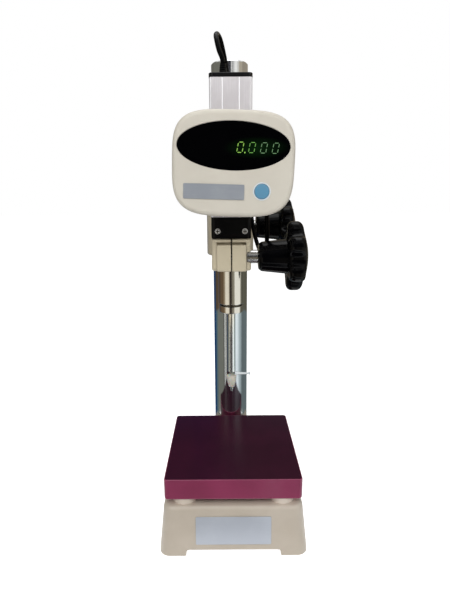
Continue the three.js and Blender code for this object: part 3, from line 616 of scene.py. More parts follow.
# four socket screws for the table and one hexagon bolt with a washer for the column: turned profiles
def makeUnderScrews():
    u = underScrews
    for i in range(1, 5):
        low, high = corners(f"table_screw_{i}")
        middle = (low + high) / 2
        profile = rounded([(0, low[2]), (u["head"], low[2]), (u["head"], low[2] + u["headHigh"]),
                           (u["shank"], low[2] + u["headHigh"]), (u["shank"], high[2]), (0, high[2])],
                          [0, 0.5, 0.3, 0, 0.4, 0], 3)
        piece = turned(f"table_screw_{i}_turned", "z", (middle[0], middle[1], 0), profile, 40)
        socket = hexagon(middle[0], middle[1], u["socket"])
        cut(piece, slab("socket", "z", socket, [(0, low[2] - 2), (0, low[2] + u["socketDeep"])]))
        keep(piece, "screw", "stand", "screw_steel", f"table_screw_{i}")
    low, high = corners("column_bolt")
    middle = (low + high) / 2
    head = slab("column_bolt_turned", "z", hexagon(middle[0], middle[1], u["boltHex"]),
                edged(low[2], low[2] + u["boltHexHigh"], 0.6, 3, 0.6))
    profile = rounded([(0, low[2] + 5), (u["washer"], low[2] + 5), (u["washer"], low[2] + u["washerHigh"]),
                       (u["boltShank"], low[2] + u["washerHigh"]), (u["boltShank"], high[2]), (0, high[2])],
                      [0, 0.4, 0.4, 0, 0.6, 0], 3)
    join(head, turned("shank", "z", (middle[0], middle[1], 0), profile, 48))
    keep(head, "screw", "stand", "screw_steel", "column_bolt")


makeUnderScrews()
print("stand built")

bracket = {
    "columnY": 108.3, "stemY": 22.6, "ringRadius": 32.5, "ringBottom": 235, "ringTop": 310, "ringEdge": 2.6,
    "bottom": 230.2, "face": -10.6, "half": 23.2, "blockTop": 263.3, "blockEdge": 2.2,
    "earFront": -16.4, "earHalf": 17.5, "earTop": 261.6,
    "flangeLow": 259.3, "flangeTop": 267, "flangeHalf": 23.5, "slit": 1.8,
    "groove": (-17.3, 17.3, -17.6, -4.6, 261.2, 264), "spotFace": 8.6,
    "rearBack": 156, "rearLow": 250, "rearHigh": 294, "rearHalf": 20, "columnBore": 24.3, "stemBore": 16.3,
    "screwBore": 4.3, "stemScrew": (-4.4, 246.5), "columnScrew": (142, 272), "voxel": 0.85, "calm": 2,
}


# the bracket as cast: overlapping blocks melted into one skin, with the bores and slits machined after
def makeBracket():
    b = bracket
    ringProfile = rounded(bore(b["ringRadius"], b["ringBottom"], b["ringTop"]),
                          [0, b["ringEdge"], b["ringEdge"], 0], 5)
    rear = rectangle(b["columnY"], b["rearBack"], b["rearLow"], b["rearHigh"], 8)
    block = rectangle(-b["half"], b["half"], b["face"], b["columnY"] - 5, 4)
    ears = rectangle(-b["earHalf"], b["earHalf"], b["earFront"], b["stemY"], 2.5)
    flange = rectangle(-b["flangeHalf"], b["flangeHalf"], b["face"], b["columnY"] - 15, 4)
    piece = turned("bracket_cast", "z", (0, b["columnY"], 0), ringProfile, 96)
    join(
        piece,
        slab("rear", "x", rear, edged(-b["rearHalf"], b["rearHalf"], 2.5)),
        slab("block", "z", block, edged(b["bottom"], b["blockTop"], b["blockEdge"])),
        slab("ears", "z", ears, edged(b["bottom"], b["earTop"], 1.5)),
        slab("flange", "z", flange, edged(b["flangeLow"], b["flangeTop"], 1)),
    )
    melt(piece, b["voxel"], b["calm"])
    slit = b["slit"] / 2
    x0, x1, y0, y1, z0, z1 = b["groove"]
    cut(
        piece,
        slab("groove", "z", rectangle(x0, x1, y0, y1, 0.6, 3), [(0, z0), (0, z1)]),
        turned("spot face", "x", (0, *b["stemScrew"]), bore(b["spotFace"], b["earHalf"], 60), 64),
        turned("column bore", "z", (0, b["columnY"], 0), bore(b["columnBore"], 0, 500), 96),
        turned("stem bore", "z", (0, b["stemY"], 0), bore(b["stemBore"], 0, 500), 96),
        slab("front slit", "z", rectangle(-slit, slit, b["earFront"] - 10, b["stemY"], 0.01, 1),
             [(0, 0), (0, 500)]),
        slab("rear slit", "z", rectangle(-slit, slit, b["columnY"], b["rearBack"] + 20, 0.01, 1),
             [(0, 0), (0, 500)]),
        turned("stem screw bore", "x", (0, *b["stemScrew"]), bore(b["screwBore"], -60, 60), 40),
        turned("column screw bore", "x", (0, *b["columnScrew"]), bore(b["screwBore"], -60, 60), 40),
    )
    mend(piece)
    keep(piece, "enamelWarm", "bracket", "casting", "bracket_casting")


makeBracket()
print("bracket cast")

grip = {
    "radius": 41, "rearRadius": 39.2, "fill": 0.7, "lobes": 6, "length": 58, "thick": 25, "dome": 6, "edge": 7,
    "bore": 4.3, "boreDeep": 20.3, "hub": (14.8, 17.4, 20.5),
    "screw": 4, "collar": 8, "gap": 0.3, "screwDeep": 20,
}


# the star's outline: lobes of a quarter of the radius, joined by hollows of a fifth, arc after arc
def starOutline(radius, lobes, steps=9):
    lobe, hollow = radius / 4, radius / 5
    centre, half = radius - lobe, math.pi / lobes
    along, across = centre * math.cos(half), centre * math.sin(half)
    far = along + math.sqrt((lobe + hollow) ** 2 - across**2)
    lean = math.pi / 2 - math.atan2(far - along, across)
    t = np.linspace(-1, 1, steps)
    outward, inward = t * (half + lean), math.pi - t * lean
    tip = np.column_stack([centre + lobe * np.cos(outward), lobe * np.sin(outward)])
    valley = np.column_stack([far + hollow * np.cos(inward), hollow * np.sin(inward)])[1:-1]
    middle = np.arange(lobes) * 2 * half
    points = []
    for arc, offset in ((tip, 0), (valley, half)):
        c, s = np.cos(middle + offset)[:, None], np.sin(middle + offset)[:, None]
        points.append(np.stack([arc[:, 0] * c - arc[:, 1] * s, arc[:, 0] * s + arc[:, 1] * c], -1))
    return np.concatenate(points, 1).reshape(-1, 2)


# a grip: the radius at an angle and a place along the axis is the hub's, or the star's less the
# rounding of its rim, whichever is larger, eased together by half a root of squares; towards the face the
# hollows fill up to a circle, by the square of the way through the rim; the face is its outline times s,
# raised by the dome times one less s squared
def makeGrip(name, body, at, start, spin, radius):
    g = grip
    star = starOutline(radius, g["lobes"])
    angle = np.arctan2(star[:, 1], star[:, 0])
    reach = np.hypot(star[:, 0], star[:, 1])
    small, middle, large = g["hub"]
    back, end = g["length"] - g["thick"], g["length"] - g["dome"]
    hub = rounded([(g["bore"], 0), (small, 0), (middle, 3.5), (large, back - 1)], [0, 1.6, 4, 0], 5)
    t = np.linspace(0, math.pi / 2, 10)
    draw, push = g["edge"] * (1 - np.sin(t)), g["edge"] * (1 - np.cos(t))

    def eased(inset, way=0.0):
        outer = reach + (radius - 1.5 - reach) * g["fill"] * way**2 - inset
        return (outer + large + np.sqrt((outer - large) ** 2 + 6)) / 2

    rows = [(g["boreDeep"], np.zeros_like(reach)), (g["boreDeep"], np.full_like(reach, g["bore"]))]
    rows += [(x, np.full_like(reach, r)) for r, x in hub]
    rows += [(back + x, eased(inset)) for inset, x in zip(draw, push)]
    rows += [(end - x, eased(inset, way))
             for inset, x, way in zip(draw[::-1], push[::-1], np.linspace(0.3, 1, len(draw)))]
    face = eased(g["edge"], 1)
    rows += [(end + g["dome"] * (1 - s**2), (face * s**3 + face.min() * (1 - s**3)) * s)
             for s in np.linspace(1, 0, 13)[1:]]
    around = angle + spin
    grid = np.stack([np.column_stack([np.full_like(reach, start + x), at[0] + r * np.cos(around),
                                      at[1] + r * np.sin(around)]) for x, r in rows])
    keep(skin(name + "_grip", grid), "knob", body, "knob", name + "_handle", sharp=50)


# a bar through both ears into the grip, with a thick collar between the ear's face and the grip
def makeClampScrew(name, body, at, face, start):
    r, collar, gap, end = grip["screw"], grip["collar"], grip["gap"], start + grip["screwDeep"]
    profile = rounded([(0, -face - 1), (r - 1, -face - 1), (r, -face), (r, face + gap), (collar, face + gap),
                       (collar, start - gap), (r, start - gap), (r, end), (0, end)],
                      [0, 0.3, 0.3, 0, 0.8, 0.8, 0, 0.4, 0], 4)
    piece = turned(name + "_screw_turned", "x", (0, *at), profile, 56)
    keep(piece, "screw", body, "screw_steel", name + "_screw")


for name, at, face, start, spin, radius in (
    ("stem_clamp", bracket["stemScrew"], bracket["earHalf"], 31.8, math.pi / 6, grip["radius"]),
    ("column_clamp", bracket["columnScrew"], bracket["rearHalf"], 38, 0.4, grip["rearRadius"]),
):
    makeGrip(name, name, at, start, spin, radius)
    makeClampScrew(name, name, at, face, start)
print("clamps turned")

body = {
    "half": 24, "front": -1.1, "back": 67.9, "corner": 5, "frontCorner": 4, "wall": 3, "top": 444,
    "bottom": 292.3, "seams": (-9.4, 9.4), "seamHalf": 0.55, "seamDeep": 0.5, "glint": (21.8, 22.9),
    "blockCorner": 4.8, "capCorner": 5.2,
}


# a rounded box, bored for the stem
def makeBlock():
    low, high = corners("lower_block")
    piece = slab("lower_block_milled", "z", rectangle(low[0], high[0], low[1], high[1], body["blockCorner"], 8),
                 edged(low[2], high[2], 0.8, 4))
    cut(piece, turned("bore", "z", (0, bracket["stemY"], 0), bore(bracket["stemBore"], 200, 400), 96))
    keep(piece, "blackPaint", "gauge", "black_paint", "lower_block")


# a cross recess: a plus sign that narrows as it goes in
def crossTool(arm, half, plane, depths, at):
    plus = np.array([(arm, -half), (arm, half), (half, half), (half, arm), (-half, arm), (-half, half),
                     (-arm, half), (-arm, -half), (-half, -half), (-half, -arm), (half, -arm), (half, -half)])
    rows = [np.column_stack([plus * share, np.full(12, depth)]) for share, depth in depths]
    return skin("cross", np.stack(rows)[..., order[plane]] + np.asarray(at, float))


blockScrew = {"head": 3.3, "headHigh": 2.4, "shank": 2, "cross": 2.4, "crossHalf": 0.6, "crossDeep": 2}


# cross-head screws: a low dome over a short side, on a shank, with the cross cut in
def makeBlockScrews():
    s = blockScrew
    for side in ("left", "right"):
        low, high = corners("block_screw_" + side)
        x, z, face = (low[0] + high[0]) / 2, (low[2] + high[2]) / 2, low[1]
        under = face + s["headHigh"]
        profile = rounded([(0, face), (s["head"] - 0.8, face + 0.15), (s["head"], face + 1.1),
                           (s["head"], under), (s["shank"], under), (s["shank"], high[1]), (0, high[1])],
                          [0, 2.5, 0.6, 0.2, 0, 0.3, 0], 5)
        piece = turned(f"block_screw_{side}_turned", "y", (x, 0, z), profile, 48)
        depths = [(1, face - 1), (1, face + 0.3), (0.6, face + s["crossDeep"])]
        cut(piece, crossTool(s["cross"], s["crossHalf"], "y", depths, (x, 0, z)))

        # the cross recess's faces take the darker steel: painted shade
        def inCross(px, py, pz):
            return (np.hypot(px - x, pz - z) < s["cross"] + 0.02) & (py > face + 0.32)

        twoTone(piece, "silver", "neck", inCross)
        keep(piece, "silver", "gauge", "screw_steel", "block_screw_" + side)


# the extrusion: one section, its front broken by two cut seams, carried up from block to cap; the
# seams and a narrow flat on each front corner carry a painted highlight, near-white with a faint glow
def makeBody():
    b = body
    f, h, w, d = b["front"], b["half"], b["seamHalf"], b["seamDeep"]
    outer = [(h, b["back"]), (-h, b["back"]), (-h, f)]
    radii = [b["corner"], b["corner"], b["frontCorner"]]
    for x in b["seams"]:
        outer += [(x - w, f), (x - w * 0.35, f + d), (x + w * 0.35, f + d), (x + w, f)]
        radii += [0.12, 0.12, 0.12, 0.12]
    section = rounded([*outer, (h, f)], [*radii, b["frontCorner"]], 6, closed=True)
    wall = rectangle(-h + b["wall"], h - b["wall"], f + b["wall"], b["back"] - b["wall"], 3, 8)()
    middle = (f + b["back"]) / 2
    around = np.arctan2(section[:, 1] - middle, section[:, 0])
    wallAngle = np.arctan2(wall[:, 1] - middle, wall[:, 0])
    sortWall = np.argsort(wallAngle)
    inner = np.column_stack([np.interp(around, wallAngle[sortWall], wall[sortWall, k], period=turn)
                             for k in (0, 1)])
    rows = [np.column_stack([line, np.full(len(line), high)])
            for line, high in ((section, b["bottom"]), (section, b["top"]),
                               (inner, b["top"]), (inner, b["bottom"]))]
    piece = skin("gauge_body_extruded", np.stack(rows), ring=True)

    # faces that take the painted highlight: the seams' floors and a narrow strip on each front corner
    def paintedShine(x, y, z):
        seam = (y > f + 0.03) & (y < f + 1) & (np.abs(x) < 15)
        corner = (np.abs(x) > b["glint"][0]) & (np.abs(x) < b["glint"][1]) & (y < f + b["frontCorner"])
        return seam | corner

    twoTone(piece, "anodised", "paintedHighlight", paintedShine)
    keep(piece, "anodised", "gauge", "anodised", "gauge_body", sharp=28)


capScrew = {"head": 2.9, "shank": 1.5, "sunk": 2.5, "recess": 3.3, "socket": 1.5, "socketDeep": 1.2}


# a rounded box with a sunk socket screw in each corner
def makeCap():
    s = capScrew
    low, high = corners("top_cap")
    piece = slab("top_cap_moulded", "z", rectangle(low[0], high[0], low[1], high[1], body["capCorner"], 8),
                 edged(low[2], high[2], 0.9, 5, 0.3))
    for i in range(1, 5):
        screwLow, screwHigh = corners(f"cap_screw_{i}")
        x, y = (screwLow[0] + screwHigh[0]) / 2, (screwLow[1] + screwHigh[1]) / 2
        seat = high[2] - s["sunk"]
        cut(piece, turned("recess", "z", (x, y, 0), bore(s["recess"], seat, 500), 40))
        profile = rounded([(0, screwLow[2]), (s["shank"], screwLow[2]), (s["shank"], seat + 0.3),
                           (s["head"], seat + 0.3), (s["head"], screwHigh[2]), (0, screwHigh[2])],
                          [0, 0.3, 0, 0.1, 0.4, 0], 4)
        screw = turned(f"cap_screw_{i}_turned", "z", (x, y, 0), profile, 40)
        levels = [(0, screwHigh[2] - s["socketDeep"]), (0, 500)]
        cut(screw, slab("socket", "z", hexagon(x, y, s["socket"]), levels))
        keep(screw, "screw", "gauge", "screw_steel", f"cap_screw_{i}")
    keep(piece, "blackCap", "gauge", "black_paint", "top_cap")


# a strain relief: a cone whose radius ripples with the cosine of the height, on a flanged foot
def makeGland(name, axis, at, foot, height, radii, flange):
    s = np.linspace(0, 1, 49)
    ripple = 0.28 * (np.cos(s * turn * 6) - 1) * (1 - s * 0.4)
    cone = np.column_stack([radii[0] + (radii[1] - radii[0]) * s + ripple, foot + 2.6 + (height - 2.6) * s])
    start = rounded([(0, foot), (flange, foot), (flange, foot + 2), (radii[0], foot + 2.6)],
                    [0, 0.3, 0.6, 0], 4)
    profile = np.vstack([start, cone[1:], [(0, foot + height)]])
    piece = turned(name + "_moulded", axis, at, profile, 56)
    return keep(piece, "jacket", "gauge", "lead_jacket", name)


capGland = {"radii": (5.2, 3.5), "flange": 7}


# the strain relief where the lead leaves the cap
def makeCapGland():
    low, high = corners("cap_gland")
    middle = (low + high) / 2
    makeGland("cap_gland", "z", (middle[0], middle[1], 0), low[2], high[2] - low[2],
              capGland["radii"], capGland["flange"])


makeBlock()
makeBlockScrews()
makeBody()
makeCap()
makeCapGland()
print("gauge body built")

stem = {
    "radius": 16, "bore": 10.5, "ringRadius": 15, "neck": 13, "neckLow": 8.9, "neckHigh": 11.3, "slip": 5.15,
    "rod": 5, "holder": (70.4, 86.6), "armHeight": 88.7, "arm": 24.5, "armRadius": 1.3, "stroke": 50,
}


# the stem and its stepped end ring, whose neck groove is painted darker as shade
def makeStem():
    s = stem
    y = bracket["stemY"]
    low, high = corners("gauge_stem")
    loop = [(s["bore"], low[2]), (s["radius"], low[2]), (s["radius"], high[2]), (s["bore"], high[2])]
    piece = turned("gauge_stem_turned", "z", (0, y, 0), rounded(loop, [0.2, 0.7, 0.3, 0.2], 4, True), 112, True)
    keep(piece, "ground", "gauge", "ground_steel", "gauge_stem")
    low, high = corners("stem_end_ring")
    foot, neck = low[2] + s["neckLow"], low[2] + s["neckHigh"]
    loop = [(s["slip"], low[2]), (s["ringRadius"], low[2]), (s["ringRadius"], foot), (s["neck"], foot),
            (s["neck"], neck), (s["bore"] - 0.3, neck), (s["bore"] - 0.3, high[2]), (s["slip"], high[2])]
    piece = turned("stem_end_ring_turned", "z", (0, y, 0),
                   rounded(loop, [0.3, 1.0, 0.5, 0, 0.3, 0, 0.3, 0.2], 4, True), 112, True)

    # the neck groove's faces take the darker steel: painted shade
    def inNeck(px, py, pz):
        return (pz > foot - 0.1) & (pz < neck + 0.1) & (np.hypot(px, py - y) < s["ringRadius"] - 0.6)

    twoTone(piece, "ground", "neck", inNeck)
    keep(piece, "ground", "gauge", "ground_steel", "stem_end_ring")


# from the top down: the rod, the holder that narrows to its foot, the arm beside it, the ball tip
def makeSpindle():
    s = stem
    y = bracket["stemY"]
    low, high = corners("spindle_rod")
    r = s["rod"]
    profile = rounded([(0, low[2]), (r - 0.8, low[2]), (r, low[2] + 0.9), (r, high[2] - 0.5),
                       (r - 0.5, high[2]), (0, high[2])], [0, 0.2, 0.3, 0.3, 0.2, 0], 4)
    piece = turned("spindle_turned", "z", (0, y, 0), profile, 64)
    keep(piece, "spindle", "spindle", "ground_steel", "spindle_rod")
    foot, head = s["holder"]
    profile = rounded([(0, foot), (3.6, foot), (4.1, foot + 1.4), (5.6, foot + 7), (6.2, foot + 11),
                       (6.4, head), (0, head)], [0, 0.5, 1, 3, 2, 0.9, 0], 5)
    piece = turned("tip_holder_moulded", "z", (0, y, 0), profile, 56)
    keep(piece, "nylon", "spindle", "nylon", "tip_holder")
    r, reach = s["armRadius"], s["arm"]
    profile = rounded([(0, 4.4), (2.5, 4.4), (2.4, 7), (r + 0.3, 12), (r, reach - 2), (r + 0.7, reach - 1.6),
                       (r + 0.7, reach), (0, reach)], [0, 0.2, 1.5, 3, 0.4, 0.5, 0.7, 0], 4)
    piece = turned("lift_arm", "x", (0, y, s["armHeight"]), profile, 32)
    keep(piece, "pale", "spindle", "pale_plastic")
    low, high = corners("contact_tip")
    profile = rounded([(0, low[2]), (0.9, low[2] + 0.25), (1.5, low[2] + 1), (1.6, low[2] + 1.8),
                       (1.3, low[2] + 2.6), (2.2, low[2] + 3.6), (2.2, high[2]), (0, high[2])],
                      [0, 0.8, 0.6, 0.5, 0.3, 0.3, 0.1, 0], 4)
    piece = turned("contact_tip_turned", "z", (0, y, 0), profile, 40)
    keep(piece, "screw", "spindle", "screw_steel", "contact_tip")


# the balance spring's tape, which winds up towards the drum as the spindle rises: a thin rounded slab in its CAD box
def makeTape():
    low, high = corners("spring_strip")
    piece = slab("spring_tape", "z", rectangle(low[0], high[0], low[1], high[1], 0.15, 4),
                 edged(low[2], high[2], 0.15, 3))
    keep(piece, "ground", "gauge", "ground_steel", "spring_strip")
    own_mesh(piece)


makeStem()
makeSpindle()
makeTape()
print("stem and spindle turned")

display = {
    "centre": (1.6, 349), "turn": 2, "halfWidth": 63.5, "halfHeight": 53.4, "front": -57.4, "back": -12.4,
    "split": -35, "wall": 2.5, "face": 3, "frontEdge": 5.5, "backEdge": 6, "upper": 3.8, "lower": 3.6,
    "window": (-0.4, 17.8, 58, 24.3), "button": (30.4, -26.6), "buttonRadius": 7.7,
    "posts": ((-22, 47), (22, 47), (-34, -40), (34, -40)), "gland": (42.4, -39), "inlet": (-38, -28),
    "plate": (-51.2, 12.1, -35.8, -20.3),
}


# turns a piece that was made upright round the display's middle into its place, turned on its bolt
def settle(piece):
    x, z = display["centre"]
    lean = Matrix.Rotation(math.radians(display["turn"]), 4, "Y")
    piece.data.transform(Matrix.Translation([x * mm, 0, z * mm]) @ lean)
    return piece


# the housing's outline: |x / a| to the power n plus |z / b| to the power n is 1, n larger above than below
def displayOutline(steps=144):
    d = display
    angle = (np.arange(steps) + 0.5) * turn / steps
    c, s = np.cos(angle), np.sin(angle)
    power = np.where(s > 0, d["upper"], d["lower"])

    def outline(inset=0):
        reach = (np.abs(c) ** power + np.abs(s) ** power) ** (-1 / power)
        points = np.column_stack([d["halfWidth"] * reach * c, d["halfHeight"] * reach * s])
        ahead, behind = np.roll(points, -1, 0), np.roll(points, 1, 0)
        tangent = (ahead - behind) / np.linalg.norm(ahead - behind, axis=1)[:, None]
        return points - inset * np.column_stack([tangent[:, 1], -tangent[:, 0]])

    return outline


# one half of the housing: out over the face and down the side to the seam, then back inside the wall
def shellLevels(face, seam, edge, wall, thick):
    way = 1 if seam > face else -1
    t = np.linspace(0, math.pi / 2, 9)
    outside = np.column_stack([edge * (1 - np.sin(t)), face + way * edge * (1 - np.cos(t))])
    rim = [(0, seam - way * 0.5), (0.35, seam), (wall, seam)]
    inner = max(edge - wall, 0.5)
    inside = np.column_stack([wall + inner * (1 - np.sin(t)), face + way * (thick + inner * (1 - np.cos(t)))])
    return np.vstack([outside, rim, inside[::-1]])


def makeShells():
    d = display
    outline = displayOutline()
    piece = slab("display_front_moulded", "y", outline,
                 shellLevels(d["front"], d["split"], d["frontEdge"], d["wall"], d["face"]))
    x, z, wide, tall = d["window"]
    levels = [(-1.2, -60), (-0.6, d["front"]), (0, d["front"] + 0.6), (0, -40)]
    cut(piece, slab("window hole", "y", ellipse(x, z, wide, tall), levels))
    bx, bz = d["button"]
    hole = d["buttonRadius"] + 1.1
    cut(piece, turned("button hole", "y", (bx, 0, bz), bore(hole, -60, -40), 64))
    keep(settle(piece), "creamShell", "gauge", "cream_shell", "display_front_shell")

    piece = slab("display_back_moulded", "y", outline,
                 shellLevels(d["back"], d["split"] + 0.3, d["backEdge"], d["wall"], d["face"]))
    holes = [(px, pz, 3.1, d["back"] - 2.2) for px, pz in d["posts"]]
    holes += [(*d["gland"], 4.3, -50), (*d["inlet"], 4.3, -50), (0, 0, 3.3, -50)]
    for hx, hz, radius, deep in holes:
        cut(piece, turned("hole", "y", (hx, 0, hz), bore(radius, deep, 0), 40))
    keep(settle(piece), "creamShell", "gauge", "cream_shell", "display_back_shell")


# an elliptic pane: drawn in at the face, wider behind it, so that it sits in the shell from inside
def makeWindow():
    d = display
    x, z, wide, tall = d["window"]
    face, back = d["front"] + 0.2, d["front"] + d["face"]
    levels = [(0.5, face), (0.25, face + 0.07), (0.3, face + 0.3), (0.3, back + 0.3), (-0.8, back + 0.3),
              (-0.8, back + 1.6)]
    levels = rounded(levels, 0.05, 2)
    piece = slab("display_window_pane", "y", ellipse(x, z, wide, tall, 160), levels)
    keep(settle(piece), "window", "gauge", "dark_window", "display_window")


digit = {
    "middle": (24.5, 16.6), "pitch": 12, "high": 10, "wide": 5.6, "stroke": 0.66, "slant": 0.17,
    "gap": 0.75, "relief": 0.12, "dot": 0.7,
}


# prisms on flat outlines that all have the same number of corners, from one depth to another
def prisms(name, outlines, front, back):
    outlines = np.asarray(outlines, float)
    count, sides = outlines.shape[:2]
    verts = np.stack([np.stack([outlines[..., 0], np.full((count, sides), y), outlines[..., 1]], -1)
                      for y in (front, back)], 1)
    ring = np.arange(sides)
    start = (np.arange(count) * 2 * sides)[:, None]
    walls = np.stack([ring, np.roll(ring, -1), sides + np.roll(ring, -1), sides + ring], -1)
    faces = (start + ring).tolist() + (start + sides + ring[::-1]).tolist()
    faces += (start[..., None] + walls[None]).reshape(-1, 4).tolist()
    mesh = bpy.data.meshes.new(name)
    mesh.from_pydata((verts.reshape(-1, 3) * mm).tolist(), [], faces)
    work = bmesh.new()
    work.from_mesh(mesh)
    bmesh.ops.recalc_face_normals(work, faces=work.faces)
    work.to_mesh(mesh)
    work.free()
    piece = bpy.data.objects.new(name, mesh)
    bpy.context.scene.collection.objects.link(piece)
    return piece


# four lit zeros with a point: each bar is a long hexagon, laid between two corners of the figure and
# leaned over by slant times its height
def makeDigits():
    g = digit
    half, tall = g["wide"] / 2, g["high"] / 2
    line = np.array([(-half, tall), (half, tall), (half, 0), (half, -tall), (-half, -tall), (-half, 0)])
    first, last = line, np.roll(line, -1, 0)
    way = (last - first) / np.linalg.norm(last - first, axis=1)[:, None]
    side = np.column_stack([-way[:, 1], way[:, 0]]) * g["stroke"] / 2
    start, stop = first + way * g["gap"], last - way * g["gap"]
    inner, outer = start + way * g["stroke"] / 2, stop - way * g["stroke"] / 2
    bars = np.stack([start, inner - side, outer - side, stop, outer + side, inner + side], 1)
    angle = np.arange(12) * turn / 12
    dot = np.column_stack([np.cos(angle), np.sin(angle)]) * g["dot"] + (half + 2.8, -tall)
    front, back = display["front"] + 0.2 - g["relief"], display["front"] + 0.25
    for i in range(4):
        across = g["middle"][0] + (i - 1.5) * g["pitch"]

        def placed(outlines):
            lean = outlines[..., 1] * g["slant"]
            return np.stack([outlines[..., 0] + lean + across, outlines[..., 1] + g["middle"][1]], -1)

        piece = prisms(f"lit_digit_{i + 1}", placed(bars), front, back)
        if i == 0:
            gather(piece, prisms("point", placed(dot[None]), front, back))
        piece.data.materials.append(finishes[("digitBright", "digitMiddle", "digitDim", "digitDim")[i]])
        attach(settle(piece), "gauge")


trim = {
    "buttonEdge": 1.2, "buttonFace": 1.8, "buttonDome": 0.35, "buttonFlange": 1.6,
    "ringGap": 0.3, "ringWide": 1, "plateOff": (0.9, 0.3), "mountHalf": (20, 28), "mountBack": -1.5, "mountFront": -6.3,
    "bossRadius": 17, "bossFront": -12.1, "shank": 1.5, "head": 2.8, "cross": 1.7, "crossHalf": 0.32,
    "glandHeight": 13.7, "glandRadii": (5, 3.4), "glandFlange": 6.5,
}


# the button's cap: its face sinks by the dome times the square of the distance from the middle
def makeButton():
    d, m = display, trim
    bx, bz = d["button"]
    r, f = d["buttonRadius"], d["front"]
    dome = np.linspace(0, 1, 8)[:, None]
    cap = np.column_stack([dome * (r - m["buttonEdge"]), f - m["buttonFace"] + m["buttonDome"] * dome**2])
    out = r + m["buttonFlange"]
    edge = rounded([(r - m["buttonEdge"], f - 1.45), (r, f - 1.1), (r, f + 3.6), (out, f + 3.6), (out, f + 5),
                    (2, f + 5), (2, -49.0), (0, -49.0)], [0, 0.8, 0, 0.3, 0.3, 0, 0.2, 0], 5)
    piece = turned("zero_button_cap", "y", (bx, 0, bz), np.vstack([cap, edge[1:]]), 72)
    keep(settle(piece), "button", "zero_button", "blue_button", "zero_button")

    low, high = r + m["ringGap"], r + m["ringGap"] + m["ringWide"]
    loop = [(low, f - 0.5), (high, f - 0.5), (high + 0.5, f - 0.3), (low + 0.5, f - 0.3), (low + 0.5, f + 3),
            (low, f + 3)]
    loop = rounded(loop, [0.15, 0.2, 0.05, 0, 0.05, 0.1], 3, True)
    piece = turned("button_bezel_ring", "y", (bx, 0, bz), loop, 72, True)
    keep(settle(piece), "pale", "gauge", "pale_plastic", "button_bezel")


# the bare plate on the front and the mount behind: rounded rectangles, the mount with a round boss
def makePlateAndMount():
    f, m = display["front"], trim
    high, low = m["plateOff"]
    piece = slab("name_plate_blank", "y", rectangle(*display["plate"], 1.2), edged(f - high, f - low, 0.2, 3))
    keep(settle(piece), "namePlate", "gauge", "name_plate", "display_name_plate")

    wide, tall = m["mountHalf"]
    piece = slab("display_mount_moulded", "y", rectangle(-wide, wide, -tall, tall, 4),
                 edged(m["mountFront"], m["mountBack"], 0.8))
    boss = rounded(bore(m["bossRadius"], m["bossFront"], -5), [0, 0.5, 0, 0], 4)
    join(piece, turned("boss", "y", (0, 0, 0), boss, 64))
    keep(settle(piece), "blackPaint", "gauge", "black_paint", "display_mount")


# the back's screws, power inlet and lead gland: turned profiles round Y
def makeBackFittings():
    d, m = display, trim
    r, head = m["shank"], m["head"]
    seat = d["back"] - 1.9
    for i, (x, z) in enumerate(d["posts"]):
        profile = rounded([(0, -45.4), (r, -45.4), (r, seat), (head, seat), (head, seat + 1.2),
                           (1.2, seat + 1.8), (0, seat + 1.85)], [0, 0.3, 0, 0.1, 0.6, 0.8, 0], 4)
        piece = turned(f"shell_screw_{i + 1}_turned", "y", (x, 0, z), profile, 40)
        depths = [(1, seat + 4), (1, seat + 1.7), (0.45, seat + 0.5)]
        cut(piece, crossTool(m["cross"], m["crossHalf"], "y", depths, (x, 0, z)))
        keep(settle(piece), "screw", "gauge", "screw_steel", f"shell_screw_{i + 1}")

    x, z = d["inlet"]
    b = d["back"]
    profile = rounded([(0, b - 12), (4, b - 12), (4, b + 0.3), (6, b + 0.3), (6, b + 1.8), (2.9, b + 1.8),
                       (2.9, b - 8), (1, b - 8), (1, b), (0, b)], [0, 0.3, 0, 0.2, 0.6, 0.4, 0, 0, 0.5, 0], 4)
    piece = turned("power_inlet_moulded", "y", (x, 0, z), profile, 48)
    keep(settle(piece), "blackPlastic", "gauge", "black_plastic", "power_inlet")

    x, z = d["gland"]
    settle(makeGland("display_gland", "y", (x, 0, z), b + 0.3, m["glandHeight"], m["glandRadii"],
                     m["glandFlange"]))


makeShells()
makeWindow()
makeDigits()
makeButton()
makePlateAndMount()
makeBackFittings()
print("display built")

# pieces that keep their CAD shape, with their own finish
carried = {
    "bronze": ("lower_bush", "upper_bush", "spring_drum"),
    "ground": ("guide_rod",),
    "screw": ("display_bolt", "drum_axle", "stop_collar"),
    "blackPlastic": ("reader_head", "digit_module", "button_switch"),
    "anodised": ("scale_carriage",),
    "board": ("signal_board", "display_board"),
    "glass": ("glass_scale",),
}
for look, names in carried.items():
    for name in names:
        mesh = nodes[name].data
        mesh.materials.clear()
        mesh.materials.append(finishes[look])

